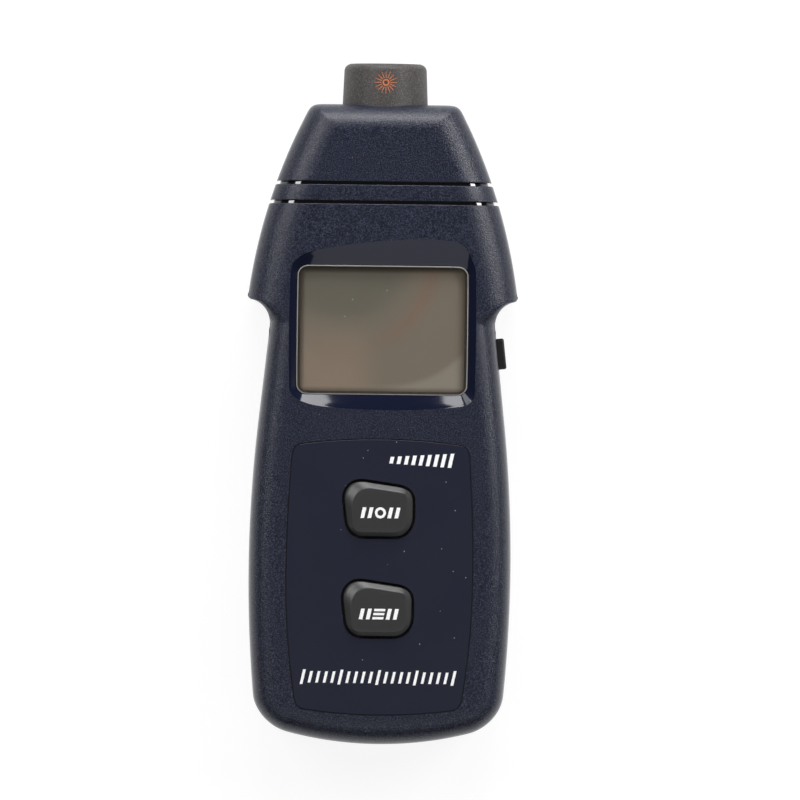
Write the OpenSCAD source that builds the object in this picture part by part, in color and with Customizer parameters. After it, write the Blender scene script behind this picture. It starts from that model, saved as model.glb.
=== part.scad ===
// A hand-held laser tachometer. Its case is two moulded shells that meet on a flat joint.
// The back rests on z = 0, y runs up to the optic collar, x across, and the origin is mid-length.

/* [Case] */
// How far the collar stands out of the head
collar_l = 11.2; // [9:0.1:13]
// Room between the battery bay and the widest place of each side, walls included
side_room = 6.45; // [6:0.05:8]
// How far the tips of the shoulders stand out past the widest place of the sides
shoulder_out = 1.1; // [0.8:0.1:2]
// Wall of both shells
wall = 2.2; // [1.8:0.1:2.4]
// Radius of the lengthwise crown of the front face
face_r = 6000; // [4000:500:9000]
// Distance from the head's end down to the tips of the shoulders
shoulder_drop = 52.9; // [52:0.2:56]
// Radius of the head's bowed sides
head_side_r = 153; // [132:4:180]
// How far below the shoulders the head's side arc is widest
head_arc_drop = 19; // [14:0.5:22]
// Radius of the lower body's bowed sides
lower_side_r = 370; // [320:10:400]
// Distance from the bottom end up to the widest place of the lower body
wide_from_bottom = 47.5; // [45:0.5:50]
// Lean of the straight sides below the shoulders, in degrees
side_tilt = 6.2; // [5.6:0.1:6.6]
// Radius of the finger notch under each shoulder
notch_r = 6.7; // [6:0.1:7.2]
// Distance from the tip of a shoulder down to the centre of its notch
notch_drop = 6.9; // [6.6:0.1:7.6]
// Rounding of the tip of each shoulder
tip_r = 1.1; // [0.8:0.1:1.4]
// Radius of the bowed bottom end
bottom_r = 99; // [80:1:120]
// Rounding of the front edge along the lower body
fillet_low = 8.5; // [8:0.1:9.5]
// Rounding of the front edge along the head
fillet_head = 11; // [10:0.1:12]
// Rounding of the front edge at both ends, and its height all round
fillet_end = 7.5; // [7:0.1:9]
// Rounding of the back edge
fillet_back = 3; // [2.6:0.1:3.2]
// How much narrower each side is at its edge than at the joint
draft = 0.25; // [0.1:0.05:0.4]

/* [Head grooves] */
// Distance from the head's end down to the first groove
groove_drop = 21.6; // [20:0.2:24]
// Distance from the first groove to the second
groove_pitch = 5.2; // [4:0.2:6]
// Width of each groove
groove_w = 0.9; // [0.7:0.1:1.2]
// Depth of each groove
groove_depth = 1; // [0.6:0.1:1.2]

/* [Display] */
// Distance from the head's end down to the middle of the window
window_drop = 61.4; // [61:0.1:64]
// Distance from each side of the window to the side of the neck
window_side = 7.2; // [7:0.1:8.6]
// Length of the window, along the case
window_l = 35.2; // [33.5:0.1:36]
// Rounding of the window's corners
window_round = 2.9; // [2:0.1:4]
// Thickness of the window
window_t = 1.2; // [1:0.1:1.5]
// Depth of the window's face below the front face
window_sink = 1.6; // [1.4:0.1:1.8]
// Width of the ledge that the window is glued to
window_ledge = 1; // [0.8:0.1:1.4]
// Thickness of the display glass
lcd_t = 2.6; // [2.2:0.1:2.8]
// How far the display glass reaches past the window on each side
lcd_margin = 1.2; // [1:0.1:1.4]

/* [Label and keys] */
// Distance from the window's lower edge down to the top of the label panel
label_gap = 11.7; // [11:0.1:13]
// Length of the label panel
label_l = 75.1; // [72:0.1:80]
// Distance from the bottom end up to the label panel
label_margin = 8; // [7.8:0.1:12]
// Distance from each side of the label panel to the widest place of the case
label_side = 10.1; // [9.6:0.1:12]
// Thickness of the label panel
label_t = 0.25; // [0.15:0.05:0.4]
// Distance from the label's top down to the middle of the upper key
key_drop = 19; // [18:0.1:20]
// Distance between the middles of the two keys
key_pitch = 27; // [25:0.1:28]
// Width of a key
key_w = 18.7; // [17:0.1:19]
// Length of a key, along the case
key_l = 15; // [14:0.1:16]
// How far a key stands above the front face
key_proud = 1.7; // [1.2:0.1:2]
// Gap around a key
key_gap = 0.8; // [0.4:0.1:1]
// Travel of every key
key_travel = 0.6; // [0.4:0.05:0.7]
// Distance from the head's end down to the middle of the side key
side_key_drop = 67.5; // [67:0.1:69]
// Length of the side key, along the case
side_key_l = 8.4; // [7:0.1:9]
// Height of the side key
side_key_h = 5; // [4:0.1:5.4]
// How far the side key stands out of the case
side_key_proud = 2; // [1.6:0.1:2.6]

/* [Board] */
// Gap between the battery bay and the board over it
board_room = 2.05; // [1.8:0.05:3]
// Depth of the board's upper face below the highest point of the front face
board_depth = 9.2; // [9:0.1:9.6]
// Thickness of the board
board_t = 1.6; // [1.2:0.1:1.6]
// Gap between the screw posts in the head and the board
board_gap = 7.5; // [6:0.1:8]
// Width and length of a key switch
switch_w = 6; // [5:0.1:7]
// Height of a key switch's housing
switch_h = 2.9; // [2.7:0.1:3]
// Radius of a key switch's plunger
plunger_r = 1.7; // [1.4:0.1:1.8]

/* [Optics] */
// Radius of the collar at its base
collar_r = 11.6; // [11.2:0.1:11.7]
// Height of the collar's underside above the back. The two shells meet at its axis
collar_lift = 2.8; // [2.6:0.1:3.6]
// Radius of the collar at its tip
collar_tip_r = 11.2; // [10.9:0.1:11.3]
// Radius of the bore that holds the optics
optic_bore_r = 9.65; // [9.5:0.05:9.7]
// Depth of the aperture plate below the tip of the collar
plate_sink = 3; // [2:0.1:3.5]
// Radius of the receiver lens
lens_r = 5.2; // [4.8:0.1:5.3]
// Radius of the laser module
laser_r = 3; // [2.6:0.1:3.1]

/* [Battery bay] */
// Diameter of a cell
cell_d = 14.2; // [13.8:0.1:14.4]
// Length of a cell
cell_l = 50.2; // [49.5:0.1:50.5]
// Distance from the bottom end up to the bay
bay_margin = 13.5; // [13:0.1:14.5]
// Thickness of the door
door_t = 2; // [1.6:0.1:2.2]
// Clearance between the door and the case
door_gap = 0.15; // [0.1:0.01:0.2]
// Length of a battery spring
spring_l = 4.2; // [3.8:0.1:4.6]

/* [Screws] */
// Radius of a case screw's thread
screw_r = 1.4; // [1.2:0.1:1.5]
// Radius of a case screw's head
screw_head_r = 2.7; // [2.4:0.1:2.8]
// Distance of the head screws from the middle of the case
head_screw_x = 20; // [19:0.5:21]
// Distance of the bottom screws from the middle of the case
low_screw_x = 18; // [16:0.5:19]

/* [Hidden] */

// Overrun of every cut past the face that it opens, and the fit of pieces that are glued or pushed in
over = 1;
fit = 0.1;

// The battery bay: four cells side by side, with their walls
cell_gap = 0.3;
bay_wall = 1.2;
contact_t = 0.4;
cell_count = 4;
bay_half = (cell_count * cell_d + (cell_count + 1) * cell_gap) / 2;
bay_l = cell_l + spring_l + 2 * contact_t;
bay_floor = door_t + door_gap;
cell_z = bay_floor + cell_gap + cell_d / 2;
bay_top = cell_z + cell_d / 2 + cell_gap;

// The case is as wide as the bay and its room, as deep as what lies on it, and as long as its fields
lower_w = 2 * (bay_half + side_room);
shoulder_w = lower_w + 2 * shoulder_out;
board_bot = bay_top + bay_wall + board_room;
board_top = board_bot + board_t;
face_z = board_top + board_depth;
split_z = collar_lift + collar_r;
overall_l = collar_l + window_drop + window_l / 2 + label_gap + label_l + label_margin;
label_w = lower_w - 2 * label_side;

// Levels along the case
y_tip = overall_l / 2;
y_bot = -overall_l / 2;
y_top = y_tip - collar_l;
y_shoulder = y_top - shoulder_drop;
y_wide = y_bot + wide_from_bottom;
y_line = y_wide + lower_side_r * sin(side_tilt);
y_window = y_top - window_drop;
y_label_top = y_window - window_l / 2 - label_gap;
y_label_bot = y_bot + label_margin;
y_key = [y_label_top - key_drop, y_label_top - key_drop - key_pitch];
x_key = -key_w / 36;
y_side_key = y_top - side_key_drop;

// Steps of the case's curves
end_steps = 5;
corner_steps = 5;
fillet_steps = 6;
back_steps = 3;
fixed_point_steps = 6;
last_angle = 86.5;
low_levels = 7;
blend_levels = 6;
head_levels = 5;
notch_lead = 20;
notch_steps = 10;
tip_steps = 5;
corner_power_low = 2.3;
corner_power_top = 8;

// The outline of the case, as half widths along y
function smooth(t) = let (c = min(1, max(0, t))) c * c * (3 - 2 * c);
function arc_sag(r, s) = r - sqrt(r * r - s * s);
function face(y) = face_z - arc_sag(face_r, y);
function line_x(y) =
    lower_w / 2 - arc_sag(lower_side_r, y_line - y_wide) - (y - y_line) * tan(side_tilt);
function lower_x(y) = y < y_line ? lower_w / 2 - arc_sag(lower_side_r, y - y_wide) : line_x(y);
head_arc = [
    shoulder_w / 2 + arc_sag(head_side_r, head_arc_drop) - head_side_r,
    y_shoulder - head_arc_drop
];
function head_x(y) = head_arc[0] + sqrt(pow(head_side_r, 2) - pow(y - head_arc[1], 2));
// The notch bites a little into the straight side below it, so that the two cross cleanly
notch_bite = 0.08;
notch = [
    line_x(y_shoulder - notch_drop) + (notch_r - notch_bite) / cos(side_tilt),
    y_shoulder - notch_drop
];
window_w = 2 * (notch[0] - notch_r - window_side);
blend_from = notch[1] - notch_r * sin(2 * side_tilt);
blend_to = y_shoulder - tip_r / 2;
function blend(y) = smooth((y - blend_from) / (blend_to - blend_from));
function side_x(y) = y <= blend_from ? lower_x(y)
    : y >= blend_to ? head_x(y)
    : lower_x(y) + (head_x(y) - lower_x(y)) * blend(y);
function side_fillet(y) = fillet_low + (fillet_head - fillet_low) * blend(y);
function bottom_y(x) = y_bot + arc_sag(bottom_r, x);

// One corner point of a ring, found by repeated substitution, t degrees round from the end
function corner_pt(d, inset, reach, power, t, top, at, n) =
    n == 0 ? at
    : let (dx = reach[0] - (reach[0] - inset[0]) * pow(sin(t), 2 / power),
           dy = reach[1] - (reach[1] - inset[1]) * pow(cos(t), 2 / power),
           y = top ? y_top - d - dy : bottom_y(at[0]) + d + dy)
        corner_pt(d, inset, reach, power, t, top, [side_x(y) - d - dx, y], n - 1);

// The levels along the sides that every ring shares
y_first = bottom_y(lower_w / 2) + fillet_end * 10 / 9;
y_last = y_top - fillet_end * 11 / 9;
side_levels = concat(
    [for (i = [0:low_levels]) y_first + (blend_from - y_first) * i / low_levels],
    [for (i = [1:blend_levels]) blend_from + (blend_to - blend_from) * i / blend_levels],
    [for (i = [1:head_levels]) blend_to + (y_last - blend_to) * i / head_levels]);
head_side_levels = [for (i = [0:head_levels]) blend_to + (y_last - blend_to) * i / head_levels];

// The right half of a ring, from the bottom end to the top end. The surface lies d inside
// the case. k runs from 0 at the wall to 1 at the flat, and taper is the draft there.
function half_ring(d, front, k, taper, levels) =
    let (low = [fillet_low - d, fillet_end - d],
         high = [fillet_head - d, fillet_end - d],
         back = fillet_back - d,
         in_low = (front ? low * k : [back, back] * k) + [taper, taper],
         in_high = (front ? high * k : [back, back] * k) + [taper, taper],
         low_corner = [for (i = [0:corner_steps])
             corner_pt(d, in_low, low, corner_power_low, 90 * i / corner_steps, false,
                 [lower_w / 2 - low[0], y_bot], fixed_point_steps)],
         top_corner = [for (i = [corner_steps:-1:0])
             corner_pt(d, in_high, high, corner_power_top, 90 * i / corner_steps, true,
                 [shoulder_w / 2 - high[0], y_top], fixed_point_steps)],
         end_x = low_corner[0][0])
    concat(
        [for (i = [0:end_steps - 1]) let (x = end_x * (2 * i + 1) / (2 * end_steps + 1))
            [x, bottom_y(x) + d + in_low[1]]],
        low_corner,
        [for (y = levels)
            [side_x(y) - d - (front ? (side_fillet(y) - d) * k : back * k) - taper, y]],
        top_corner);
function whole_ring(half) =
    concat(half, [for (i = [len(half) - 1:-1:0]) [-half[i][0], half[i][1]]]);

// The rings of the front half, from the level z up to the face, and of the rear half
function front_rings(d, z, levels = side_levels) =
    concat([[for (p = whole_ring(half_ring(d, true, 0, 0, levels))) [p[0], p[1], z]]],
        [for (i = [0:fillet_steps]) let (a = last_angle * i / fillet_steps)
            [for (p = whole_ring(half_ring(d, true, 1 - cos(a), draft, levels)))
                [p[0], p[1], face(p[1]) - d - (fillet_end - d) * (1 - sin(a))]]]);
function rear_rings(d, z, levels = side_levels) =
    concat([for (i = [back_steps:-1:0]) let (a = 90 * i / back_steps)
            [for (p = whole_ring(half_ring(d, false, 1 - cos(a), draft, levels)))
                [p[0], p[1], d + (fillet_back - d) * (1 - sin(a))]]],
        [[for (p = whole_ring(half_ring(d, false, 0, 0, levels))) [p[0], p[1], z]]]);

// A closed solid through rings of equal count, with strips across its two ends
module loft(rings) {
    n = len(rings[0]);
    h = n / 2;
    last = (len(rings) - 1) * n;
    faces = concat(
        [for (k = [0:len(rings) - 2]) for (i = [0:n - 1])
            let (a = k * n + i, b = k * n + (i + 1) % n) each [[a, a + n, b], [b, a + n, b + n]]],
        [for (i = [0:h - 2]) [i, i + 1, n - 2 - i, n - 1 - i]],
        [for (i = [0:h - 2]) [last + n - 1 - i, last + n - 2 - i, last + i + 1, last + i]]);
    polyhedron(points = [for (r = rings) each r], faces = faces);
}

// The finger notches under the two shoulders, grown by g for the cavity behind their walls
module notches2d(g = 0) {
    gap = norm(notch - head_arc);
    reach = head_side_r - tip_r;
    along = (gap * gap + reach * reach - pow(notch_r + tip_r, 2)) / (2 * gap);
    dir = (notch - head_arc) / gap;
    tip = head_arc + dir * along + [-dir[1], dir[0]] * sqrt(reach * reach - along * along);
    from = 180 + side_tilt + notch_lead;
    to = atan2(tip[1] - notch[1], tip[0] - notch[0]);
    tip_to = 180 + atan2(tip[1] - head_arc[1], tip[0] - head_arc[0]);
    edge = concat(
        [for (i = [0:notch_steps]) let (a = from + (to - from) * i / notch_steps)
            notch + (notch_r + g) * [cos(a), sin(a)]],
        g > 0 ? [] : [for (i = [1:tip_steps]) let (a = to + 180 + (tip_to - to) * i / tip_steps)
            tip + tip_r * [cos(a), sin(a)]]);
    for (side = [1, -1])
        scale([side, 1])
            polygon(concat(edge, [[shoulder_w, edge[len(edge) - 1][1]], [shoulder_w, edge[0][1]]]));
}

// The whole case outline at the joint, d inside the case
module outline2d(d) difference() {
    polygon(whole_ring(half_ring(d, true, 0, 0, side_levels)));
    notches2d(d);
}
module front_body(d, z) difference() {
    loft(front_rings(d, z));
    translate([0, 0, z - over]) linear_extrude(face_z + over) notches2d(d);
}
module rear_body(d, z) difference() {
    loft(rear_rings(d, z));
    translate([0, 0, -over]) linear_extrude(z + 2 * over) notches2d(d);
}

// What lies outside the floor of the two grooves round the head
module grooves(front) difference() {
    for (i = [0, 1])
        translate([-shoulder_w / 2, y_top - groove_drop - i * groove_pitch - groove_w / 2, -over])
            cube([shoulder_w, groove_w, face_z + 2 * over]);
    if (front) loft(front_rings(groove_depth, split_z - 2 * over, head_side_levels));
    else loft(rear_rings(groove_depth, split_z + 2 * over, head_side_levels));
}

// A slab that follows the crown of the face, between two offsets from it
module crowned_slab(low, high) {
    n = 26;
    ys = [for (i = [0:n]) y_bot + (y_top - y_bot) * i / n];
    pts = concat([for (y = ys) [y, face(y) + low]],
        [for (i = [n:-1:0]) [ys[i], face(ys[i]) + high]]);
    translate([-shoulder_w / 2, 0, 0])
        rotate([90, 0, 90])
            linear_extrude(shoulder_w) polygon(pts);
}

// A rectangle with round corners, centred
module rounded2d(w, l, r) offset(r = r, $fn = 32) square([w - 2 * r, l - 2 * r], center = true);
module on_collar_axis(y) translate([0, y, split_z]) rotate([-90, 0, 0]) children();

// Display window and the recess round it
lens_z = face(y_window) - window_sink;
ledge_t = 0.9;
window_foot = lens_z - window_t - ledge_t;
rim_w = 2;
// Half widths and half lengths of the recess, as shares of the window's, bottom to top
recess_right_shares = [
    [0.25, -1.23], [0.60, -1.207], [0.877, -1.172], [0.956, -1.157], [1.035, -1.099],
    [1.07, -1.044], [1.088, -0.968], [1.088, 0.86], [1.066, 1.003], [1.0, 1.204],
    [0.938, 1.315], [0.859, 1.37], [0.60, 1.411], [0.25, 1.4]
];
recess_left_shares = [
    [0.25, -1.224], [0.564, -1.198], [0.775, -1.169], [0.925, -1.111], [1.009, -1.052],
    [1.057, -0.988], [1.084, -0.845], [1.084, 0.8], [1.06, 0.98], [1.042, 1.035],
    [0.938, 1.157], [0.815, 1.207], [0.60, 1.277], [0.25, 1.347]
];
corner_shares = [0, 22.5, 45, 67.5, 90];
window_edge_shares = [0.25, 0.6];
function window_half() = let (hw = window_w / 2, hl = window_l / 2, r = window_round)
    concat([for (s = window_edge_shares) [hw * s, -hl]],
        [for (a = corner_shares) [hw - r + r * sin(a), -hl + r - r * cos(a)]],
        [for (a = corner_shares) [hw - r + r * cos(a), hl - r + r * sin(a)]],
        [for (i = [1, 0]) [hw * window_edge_shares[i], hl]]);
function flip(pts) = [for (i = [len(pts) - 1:-1:0]) [-pts[i][0], pts[i][1]]];
window_ring = concat(window_half(), flip(window_half()));
recess_ring = let (s = [window_w / 2, window_l / 2])
    concat([for (p = recess_right_shares) [p[0] * s[0], p[1] * s[1]]],
        [for (p = flip(recess_left_shares)) [p[0] * s[0], p[1] * s[1]]]);
// The window's seat, and the recess over it, which runs on above the face at the same slope
module window_recess() {
    lift = window_sink;
    rings = [
        [for (p = window_ring) [p[0], p[1] + y_window, lens_z - window_t]],
        [for (p = window_ring) [p[0], p[1] + y_window, lens_z]],
        [for (p = recess_ring) [p[0], p[1] + y_window, face(p[1] + y_window)]],
        [for (i = [0:len(window_ring) - 1])
            let (p = 2 * recess_ring[i] - window_ring[i])
            [p[0], p[1] + y_window, face(p[1] + y_window) + lift]]
    ];
    loft(rings);
}

// The label panel's outline: its ends bow outwards and its sides swell
label_end_share = 0.94;
label_foot_share = 0.88;
label_bow = 1.8;
label_round = 3;
label_steps = 10;
label_sink = 0.05;
module label2d(inset) {
    l = y_label_top - y_label_bot;
    mid = (y_label_top + y_label_bot) / 2;
    side = [for (i = [0:label_steps]) let (t = i / label_steps,
            share = t < 0.5 ? 1 - (1 - label_foot_share) * pow(1 - 2 * t, 2)
                : 1 - (1 - label_end_share) * pow(2 * t - 1, 2))
        [label_w / 2 * share, mid + (l / 2 - label_bow) * (2 * t - 1)]];
    top = [for (i = [1:label_steps - 1]) let (t = 1 - 2 * i / label_steps)
        [label_w / 2 * label_end_share * t, y_label_top - label_bow * t * t]];
    bot = [for (i = [1:label_steps - 1]) let (t = 2 * i / label_steps - 1)
        [label_w / 2 * label_foot_share * t, y_label_bot + label_bow * t * t]];
    offset(delta = -inset)
        offset(r = label_round, $fn = 24)
            offset(delta = -label_round)
                polygon(concat(side, top, flip(side), bot));
}

// A key's outline, as shares of its half width and half length
key_shares = [
    [-1, 0.49], [-0.84, 0.84], [-0.57, 1], [0.73, 0.78], [1, 0.44],
    [1, -0.36], [0.55, -1], [-0.6, -1], [-0.88, -0.67]
];
key_top_shares = [
    [-0.79, 0.3], [-0.6, 0.68], [-0.29, 0.8], [0.74, 0.59], [0.86, 0.4],
    [0.85, -0.45], [0.56, -0.87], [-0.6, -0.88], [-0.76, -0.66]
];
key_corner_r = 1;
flange_w = 1.2;
flange_t = 0.8;
flange_gap = 0.6;
module key2d(shares, grow = 0)
    offset(r = key_corner_r + grow, $fn = 32)
        offset(delta = -key_corner_r)
            polygon([for (p = shares) [p[0] * key_w / 2, p[1] * key_l / 2]]);
function flange_top(y) = face(y) - wall - flange_gap;
plunger_top = board_top + switch_h + key_travel + fit;

// The side key, in its own frame: x out of the case, y along its side, z up
side_key_z = board_bot - switch_w / 3;
module at_side_key()
    translate([line_x(y_side_key), y_side_key, side_key_z]) rotate([0, 0, side_tilt]) children();
side_flange_x = -wall - draft - fit;
side_flange_t = 1;
side_switch_face = side_flange_x - side_flange_t - key_travel - 2 * fit;
key_clear = 0.2;
module side_key2d(grow)
    rounded2d(side_key_h + 2 * grow, side_key_l + 2 * grow, side_key_h / 6 + grow);

// The door, its rails and the places of the cells
y_bay = y_bot + bay_margin;
door_y = y_bay + bay_l + bay_wall / 2;
rail_w = 1;
rail_t = 0.9;
rail_z = 0.6;
rail_back = 2;
rail_front = 4;
rail_l = bay_l - rail_back - rail_front;
floor_t = 1.5;
function cell_x(i) = (i - (cell_count - 1) / 2) * (cell_d + cell_gap);

// The lip that locates the two shells
lip_h = 1.2;
lip_inset = 1.2;
lip_over = 0.5;

// Screw posts: the two at the head, and the two at the bottom under the door
post_r = 3.2;
head_post_share = 6;
low_post_share = 0.88;
rib_t = 1.2;
rib_l = 7;
rib_drop = 2;
screw_seat = 5;
screw_head_t = 2;
screw_l = 17;
y_head_screw = y_top - post_r * head_post_share;
y_low_screw = y_bay - bay_wall - post_r * low_post_share;
case_screw_places = [
    [head_screw_x, y_head_screw], [-head_screw_x, y_head_screw],
    [low_screw_x, y_low_screw], [-low_screw_x, y_low_screw]
];

// The display's glass and frame, the board as wide as they are, and the posts that it hangs from
frame_w = 1.2;
frame_lip = 0.4;
lcd_w = window_w + 2 * lcd_margin;
lcd_l = window_l + 2 * lcd_margin;
board_w = lcd_w + 2 * frame_w;
board_end = 4;
board_post_in = 5;
board_top_y = y_head_screw - post_r - board_gap;
board_bot_y = y_key[1] - key_l / 2 - board_end;
board_post_r = 2.3;
board_screw_r = 0.9;
board_screw_l = 6;
board_head_r = 1.8;
board_head_t = 1.3;
board_post_x = board_w / 2 - 2 * board_post_r;
board_screw_places = [
    for (s = [1, -1]) for (y = [board_top_y - board_post_in, board_bot_y + board_post_in])
        [s * board_post_x, y]
];

// The collar's seat and what the head holds
collar_fit = 0.1;
seat_t = 2.2;
seat_depth = 6.3;
y_seat = y_top - seat_depth;
spigot_r = 9.9;
spigot_bore_r = 8.3;
flange_r = 10.8;
collar_flange_t = 1.1;
collar_step = 1;
lens_x = -3.4;
lens_gap = 1.2;
laser_x = lens_x + lens_r + laser_r + lens_gap;
plate_t = 1.2;
y_plate = y_tip - plate_sink - plate_t;
y_holder = y_seat + collar_step;
sensor_board_t = 1.2;
sensor_gap = 8;
y_sensor = y_seat - seat_t - sensor_gap;
sensor_board_w = 24;
sensor_board_h = 20;
sensor_rib = 1.5;

module front_shell() color("midnightblue") difference() {
    front_body(0, split_z);
    // The cavity, less the posts, the window's rim and the collar's seat that stand in it
    difference() {
        front_body(wall, split_z - over);
        for (p = case_screw_places) translate([p[0], p[1], split_z]) {
            cylinder(h = face_z, r = post_r, $fn = 32);
            translate([0, 0, rib_drop]) post_ribs(p, face_z);
        }
        for (p = board_screw_places)
            translate([p[0], p[1], board_top]) cylinder(h = face_z, r = board_post_r, $fn = 24);
        translate([0, y_window, window_foot])
            linear_extrude(face_z) rounded2d(window_w + 2 * rim_w, window_l + 2 * rim_w, window_round);
        translate([-shoulder_w / 2, y_seat - seat_t, split_z])
            cube([shoulder_w, seat_t, face_z]);
    }
    // The two lower posts stand clear of the battery bay
    translate([-bay_half - bay_wall, y_bay - bay_wall - fit, split_z - over])
        cube([2 * (bay_half + bay_wall), post_r, bay_top + bay_wall + fit - split_z + over]);
    // The step that takes the rear shell's lip
    translate([0, 0, split_z - over]) linear_extrude(over + lip_h + fit) difference() {
        outline2d(lip_inset - fit);
        outline2d(wall + lip_over);
    }
    grooves(true);
    window_recess();
    translate([0, y_window, board_top])
        linear_extrude(face_z)
            rounded2d(window_w - 2 * window_ledge, window_l - 2 * window_ledge, window_round);
    intersection() {
        linear_extrude(2 * face_z) label2d(0);
        crowned_slab(-label_t - label_sink, over);
    }
    for (y = y_key)
        translate([x_key, y, board_top]) linear_extrude(face_z) key2d(key_shares, key_gap);
    at_side_key()
        translate([-2 * wall, 0, 0])
            rotate([0, 90, 0]) linear_extrude(3 * wall) side_key2d(key_clear);
    for (p = case_screw_places)
        translate([p[0], p[1], split_z - over])
            cylinder(h = over + screw_seat + screw_l - split_z + over, r = screw_r, $fn = 20);
    for (p = board_screw_places)
        translate([p[0], p[1], board_top - over])
            cylinder(h = over + board_screw_l - board_t + fit, r = board_screw_r, $fn = 16);
    collar_holes();
}

// The seat for the collar, cut in both shells
module collar_holes() {
    on_collar_axis(y_seat)
        cylinder(h = collar_l + y_top - y_seat, r = collar_r + collar_fit, $fn = 72);
    on_collar_axis(y_seat - seat_t - over)
        cylinder(h = seat_t + 2 * over, r = spigot_r + collar_fit, $fn = 48);
}
// Two ribs stiffen a post, one towards the side wall and one towards the nearer end
module post_ribs(p, h) for (d = [[sign(p[0]), 0], [0, sign(p[1])]]) hull() for (k = [0, rib_l])
    translate(d * k) cylinder(h = h, r = rib_t / 2, $fn = 8);

// The cavity of the rear shell, less the bay, the floor over the door's end, posts and ribs
module rear_cavity() difference() {
    rear_body(wall, split_z + over);
    translate([-bay_half - bay_wall, y_bay - bay_wall, 0])
        cube([2 * (bay_half + bay_wall), bay_l + 2 * bay_wall, face_z]);
    translate([-bay_half - bay_wall, y_bot, 0])
        cube([2 * (bay_half + bay_wall), bay_margin, bay_floor + floor_t]);
    for (p = case_screw_places) translate([p[0], p[1], 0]) {
        cylinder(h = face_z, r = post_r + (p[1] > 0 ? over : 0), $fn = 32);
        post_ribs(p, split_z - rib_drop);
    }
    translate([-shoulder_w / 2, y_seat - seat_t, 0]) cube([shoulder_w, seat_t, face_z]);
    for (s = [1, -1])
        translate([s * sensor_board_w / 2 - sensor_rib, y_sensor - sensor_rib, 0])
            cube([2 * sensor_rib, sensor_board_t + 2 * sensor_rib, split_z - 2 * over]);
}
module rear_shell() color("midnightblue") difference() {
    union() {
        difference() {
            rear_body(0, split_z);
            rear_cavity();
        }
        // The lip that locates the front shell
        translate([0, 0, split_z - over]) linear_extrude(over + lip_h) difference() {
            outline2d(lip_inset);
            outline2d(wall - fit);
        }
        // The part of the bay above the joint
        translate([-bay_half - bay_wall, y_bay - bay_wall, split_z - over])
            cube([2 * (bay_half + bay_wall), bay_l + 2 * bay_wall,
                bay_top + bay_wall - split_z + over]);
    }
    translate([-bay_half, y_bay, -over]) cube([2 * bay_half, bay_l, bay_top + over]);
    // The opening for the door, and the grooves for its rails, both open at the bottom end
    translate([-bay_half, y_bot - over, -over])
        cube([2 * bay_half, door_y + door_gap - y_bot + over, bay_floor + over]);
    translate([-bay_half - rail_w, y_bot - over, rail_z - door_gap])
        cube([2 * (bay_half + rail_w), door_y - rail_back + door_gap - y_bot + over,
            rail_t + 2 * door_gap]);
    for (p = case_screw_places) translate([p[0], p[1], -over]) {
        cylinder(h = split_z + 3 * over, r = screw_r + fit, $fn = 20);
        cylinder(h = over + screw_seat, r = screw_head_r + fit, $fn = 32);
    }
    translate([-sensor_board_w / 2 - fit, y_sensor - fit / 2, wall])
        cube([sensor_board_w + 2 * fit, sensor_board_t + fit, face_z]);
    grooves(false);
    collar_holes();
    side_key_relief();
}
// The lip stops short of the side key
module side_key_relief() at_side_key() {
    translate([-2 * wall, -side_key_l, split_z - side_key_z])
        cube([2 * wall - draft, 2 * side_key_l, lip_h + over]);
    translate([-2 * wall, 0, 0]) rotate([0, 90, 0]) linear_extrude(3 * wall) side_key2d(key_clear);
}

// The door slides off the bottom end. Its thumb recess is crossed by grip ribs
grip_y = 11;
grip_w = 22;
grip_l = 12;
grip_depth = 1;
grip_rib = 0.8;
grip_pitch = 2.2;
grip_ribs = 2;
module battery_door() color("midnightblue") difference() {
    union() {
        intersection() {
            loft(rear_rings(0, split_z));
            translate([-bay_half + door_gap, y_bot - over, -over])
                cube([2 * (bay_half - door_gap), door_y - y_bot + over, door_t + over]);
        }
        for (s = [1, -1])
            translate([s * (bay_half - door_gap) - rail_w, door_y - rail_back - rail_l, rail_z])
                cube([2 * rail_w, rail_l, rail_t]);
    }
    difference() {
        translate([0, door_y - grip_y, -over])
            linear_extrude(over + grip_depth) rounded2d(grip_w, grip_l, grip_l / 4);
        for (i = [-grip_ribs:grip_ribs])
            translate([-grip_w / 2, door_y - grip_y + i * grip_pitch - grip_rib / 2, grip_depth / 3])
                cube([grip_w, grip_rib, grip_depth]);
    }
}

// The collar is turned, with a rounded rim, a spigot through the seat and a flange behind it
rim_r = 1.2;
rim_steps = 4;
module optic_collar() color("#464442") on_collar_axis(0) rotate_extrude($fn = 96)
    polygon(concat([
        [spigot_bore_r, y_seat - seat_t - collar_fit - collar_flange_t],
        [flange_r, y_seat - seat_t - collar_fit - collar_flange_t],
        [flange_r, y_seat - seat_t - collar_fit],
        [spigot_r, y_seat - seat_t - collar_fit],
        [spigot_r, y_seat], [collar_r, y_seat], [collar_r, y_top]
    ], [
        for (i = [0:rim_steps]) let (a = 90 * i / rim_steps)
            [collar_tip_r - rim_r * (1 - cos(a)), y_tip - rim_r * (1 - sin(a))]
    ], [
        [optic_bore_r, y_tip], [optic_bore_r, y_holder], [spigot_bore_r, y_holder]
    ]));

window_lift = 0.15;
module display_window() color("#8c887a", 0.6)
    translate([0, y_window, lens_z - window_t])
        linear_extrude(window_t + window_lift)
            rounded2d(window_w - 2 * fit, window_l - 2 * fit, window_round - fit);

module front_label() color("#262838") intersection() {
    translate([0, 0, board_top]) linear_extrude(face_z) difference() {
        label2d(2 * fit);
        for (y = y_key) translate([x_key, y]) key2d(key_shares, key_gap + fit);
    }
    crowned_slab(-label_t - label_sink, -label_sink);
}

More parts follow.
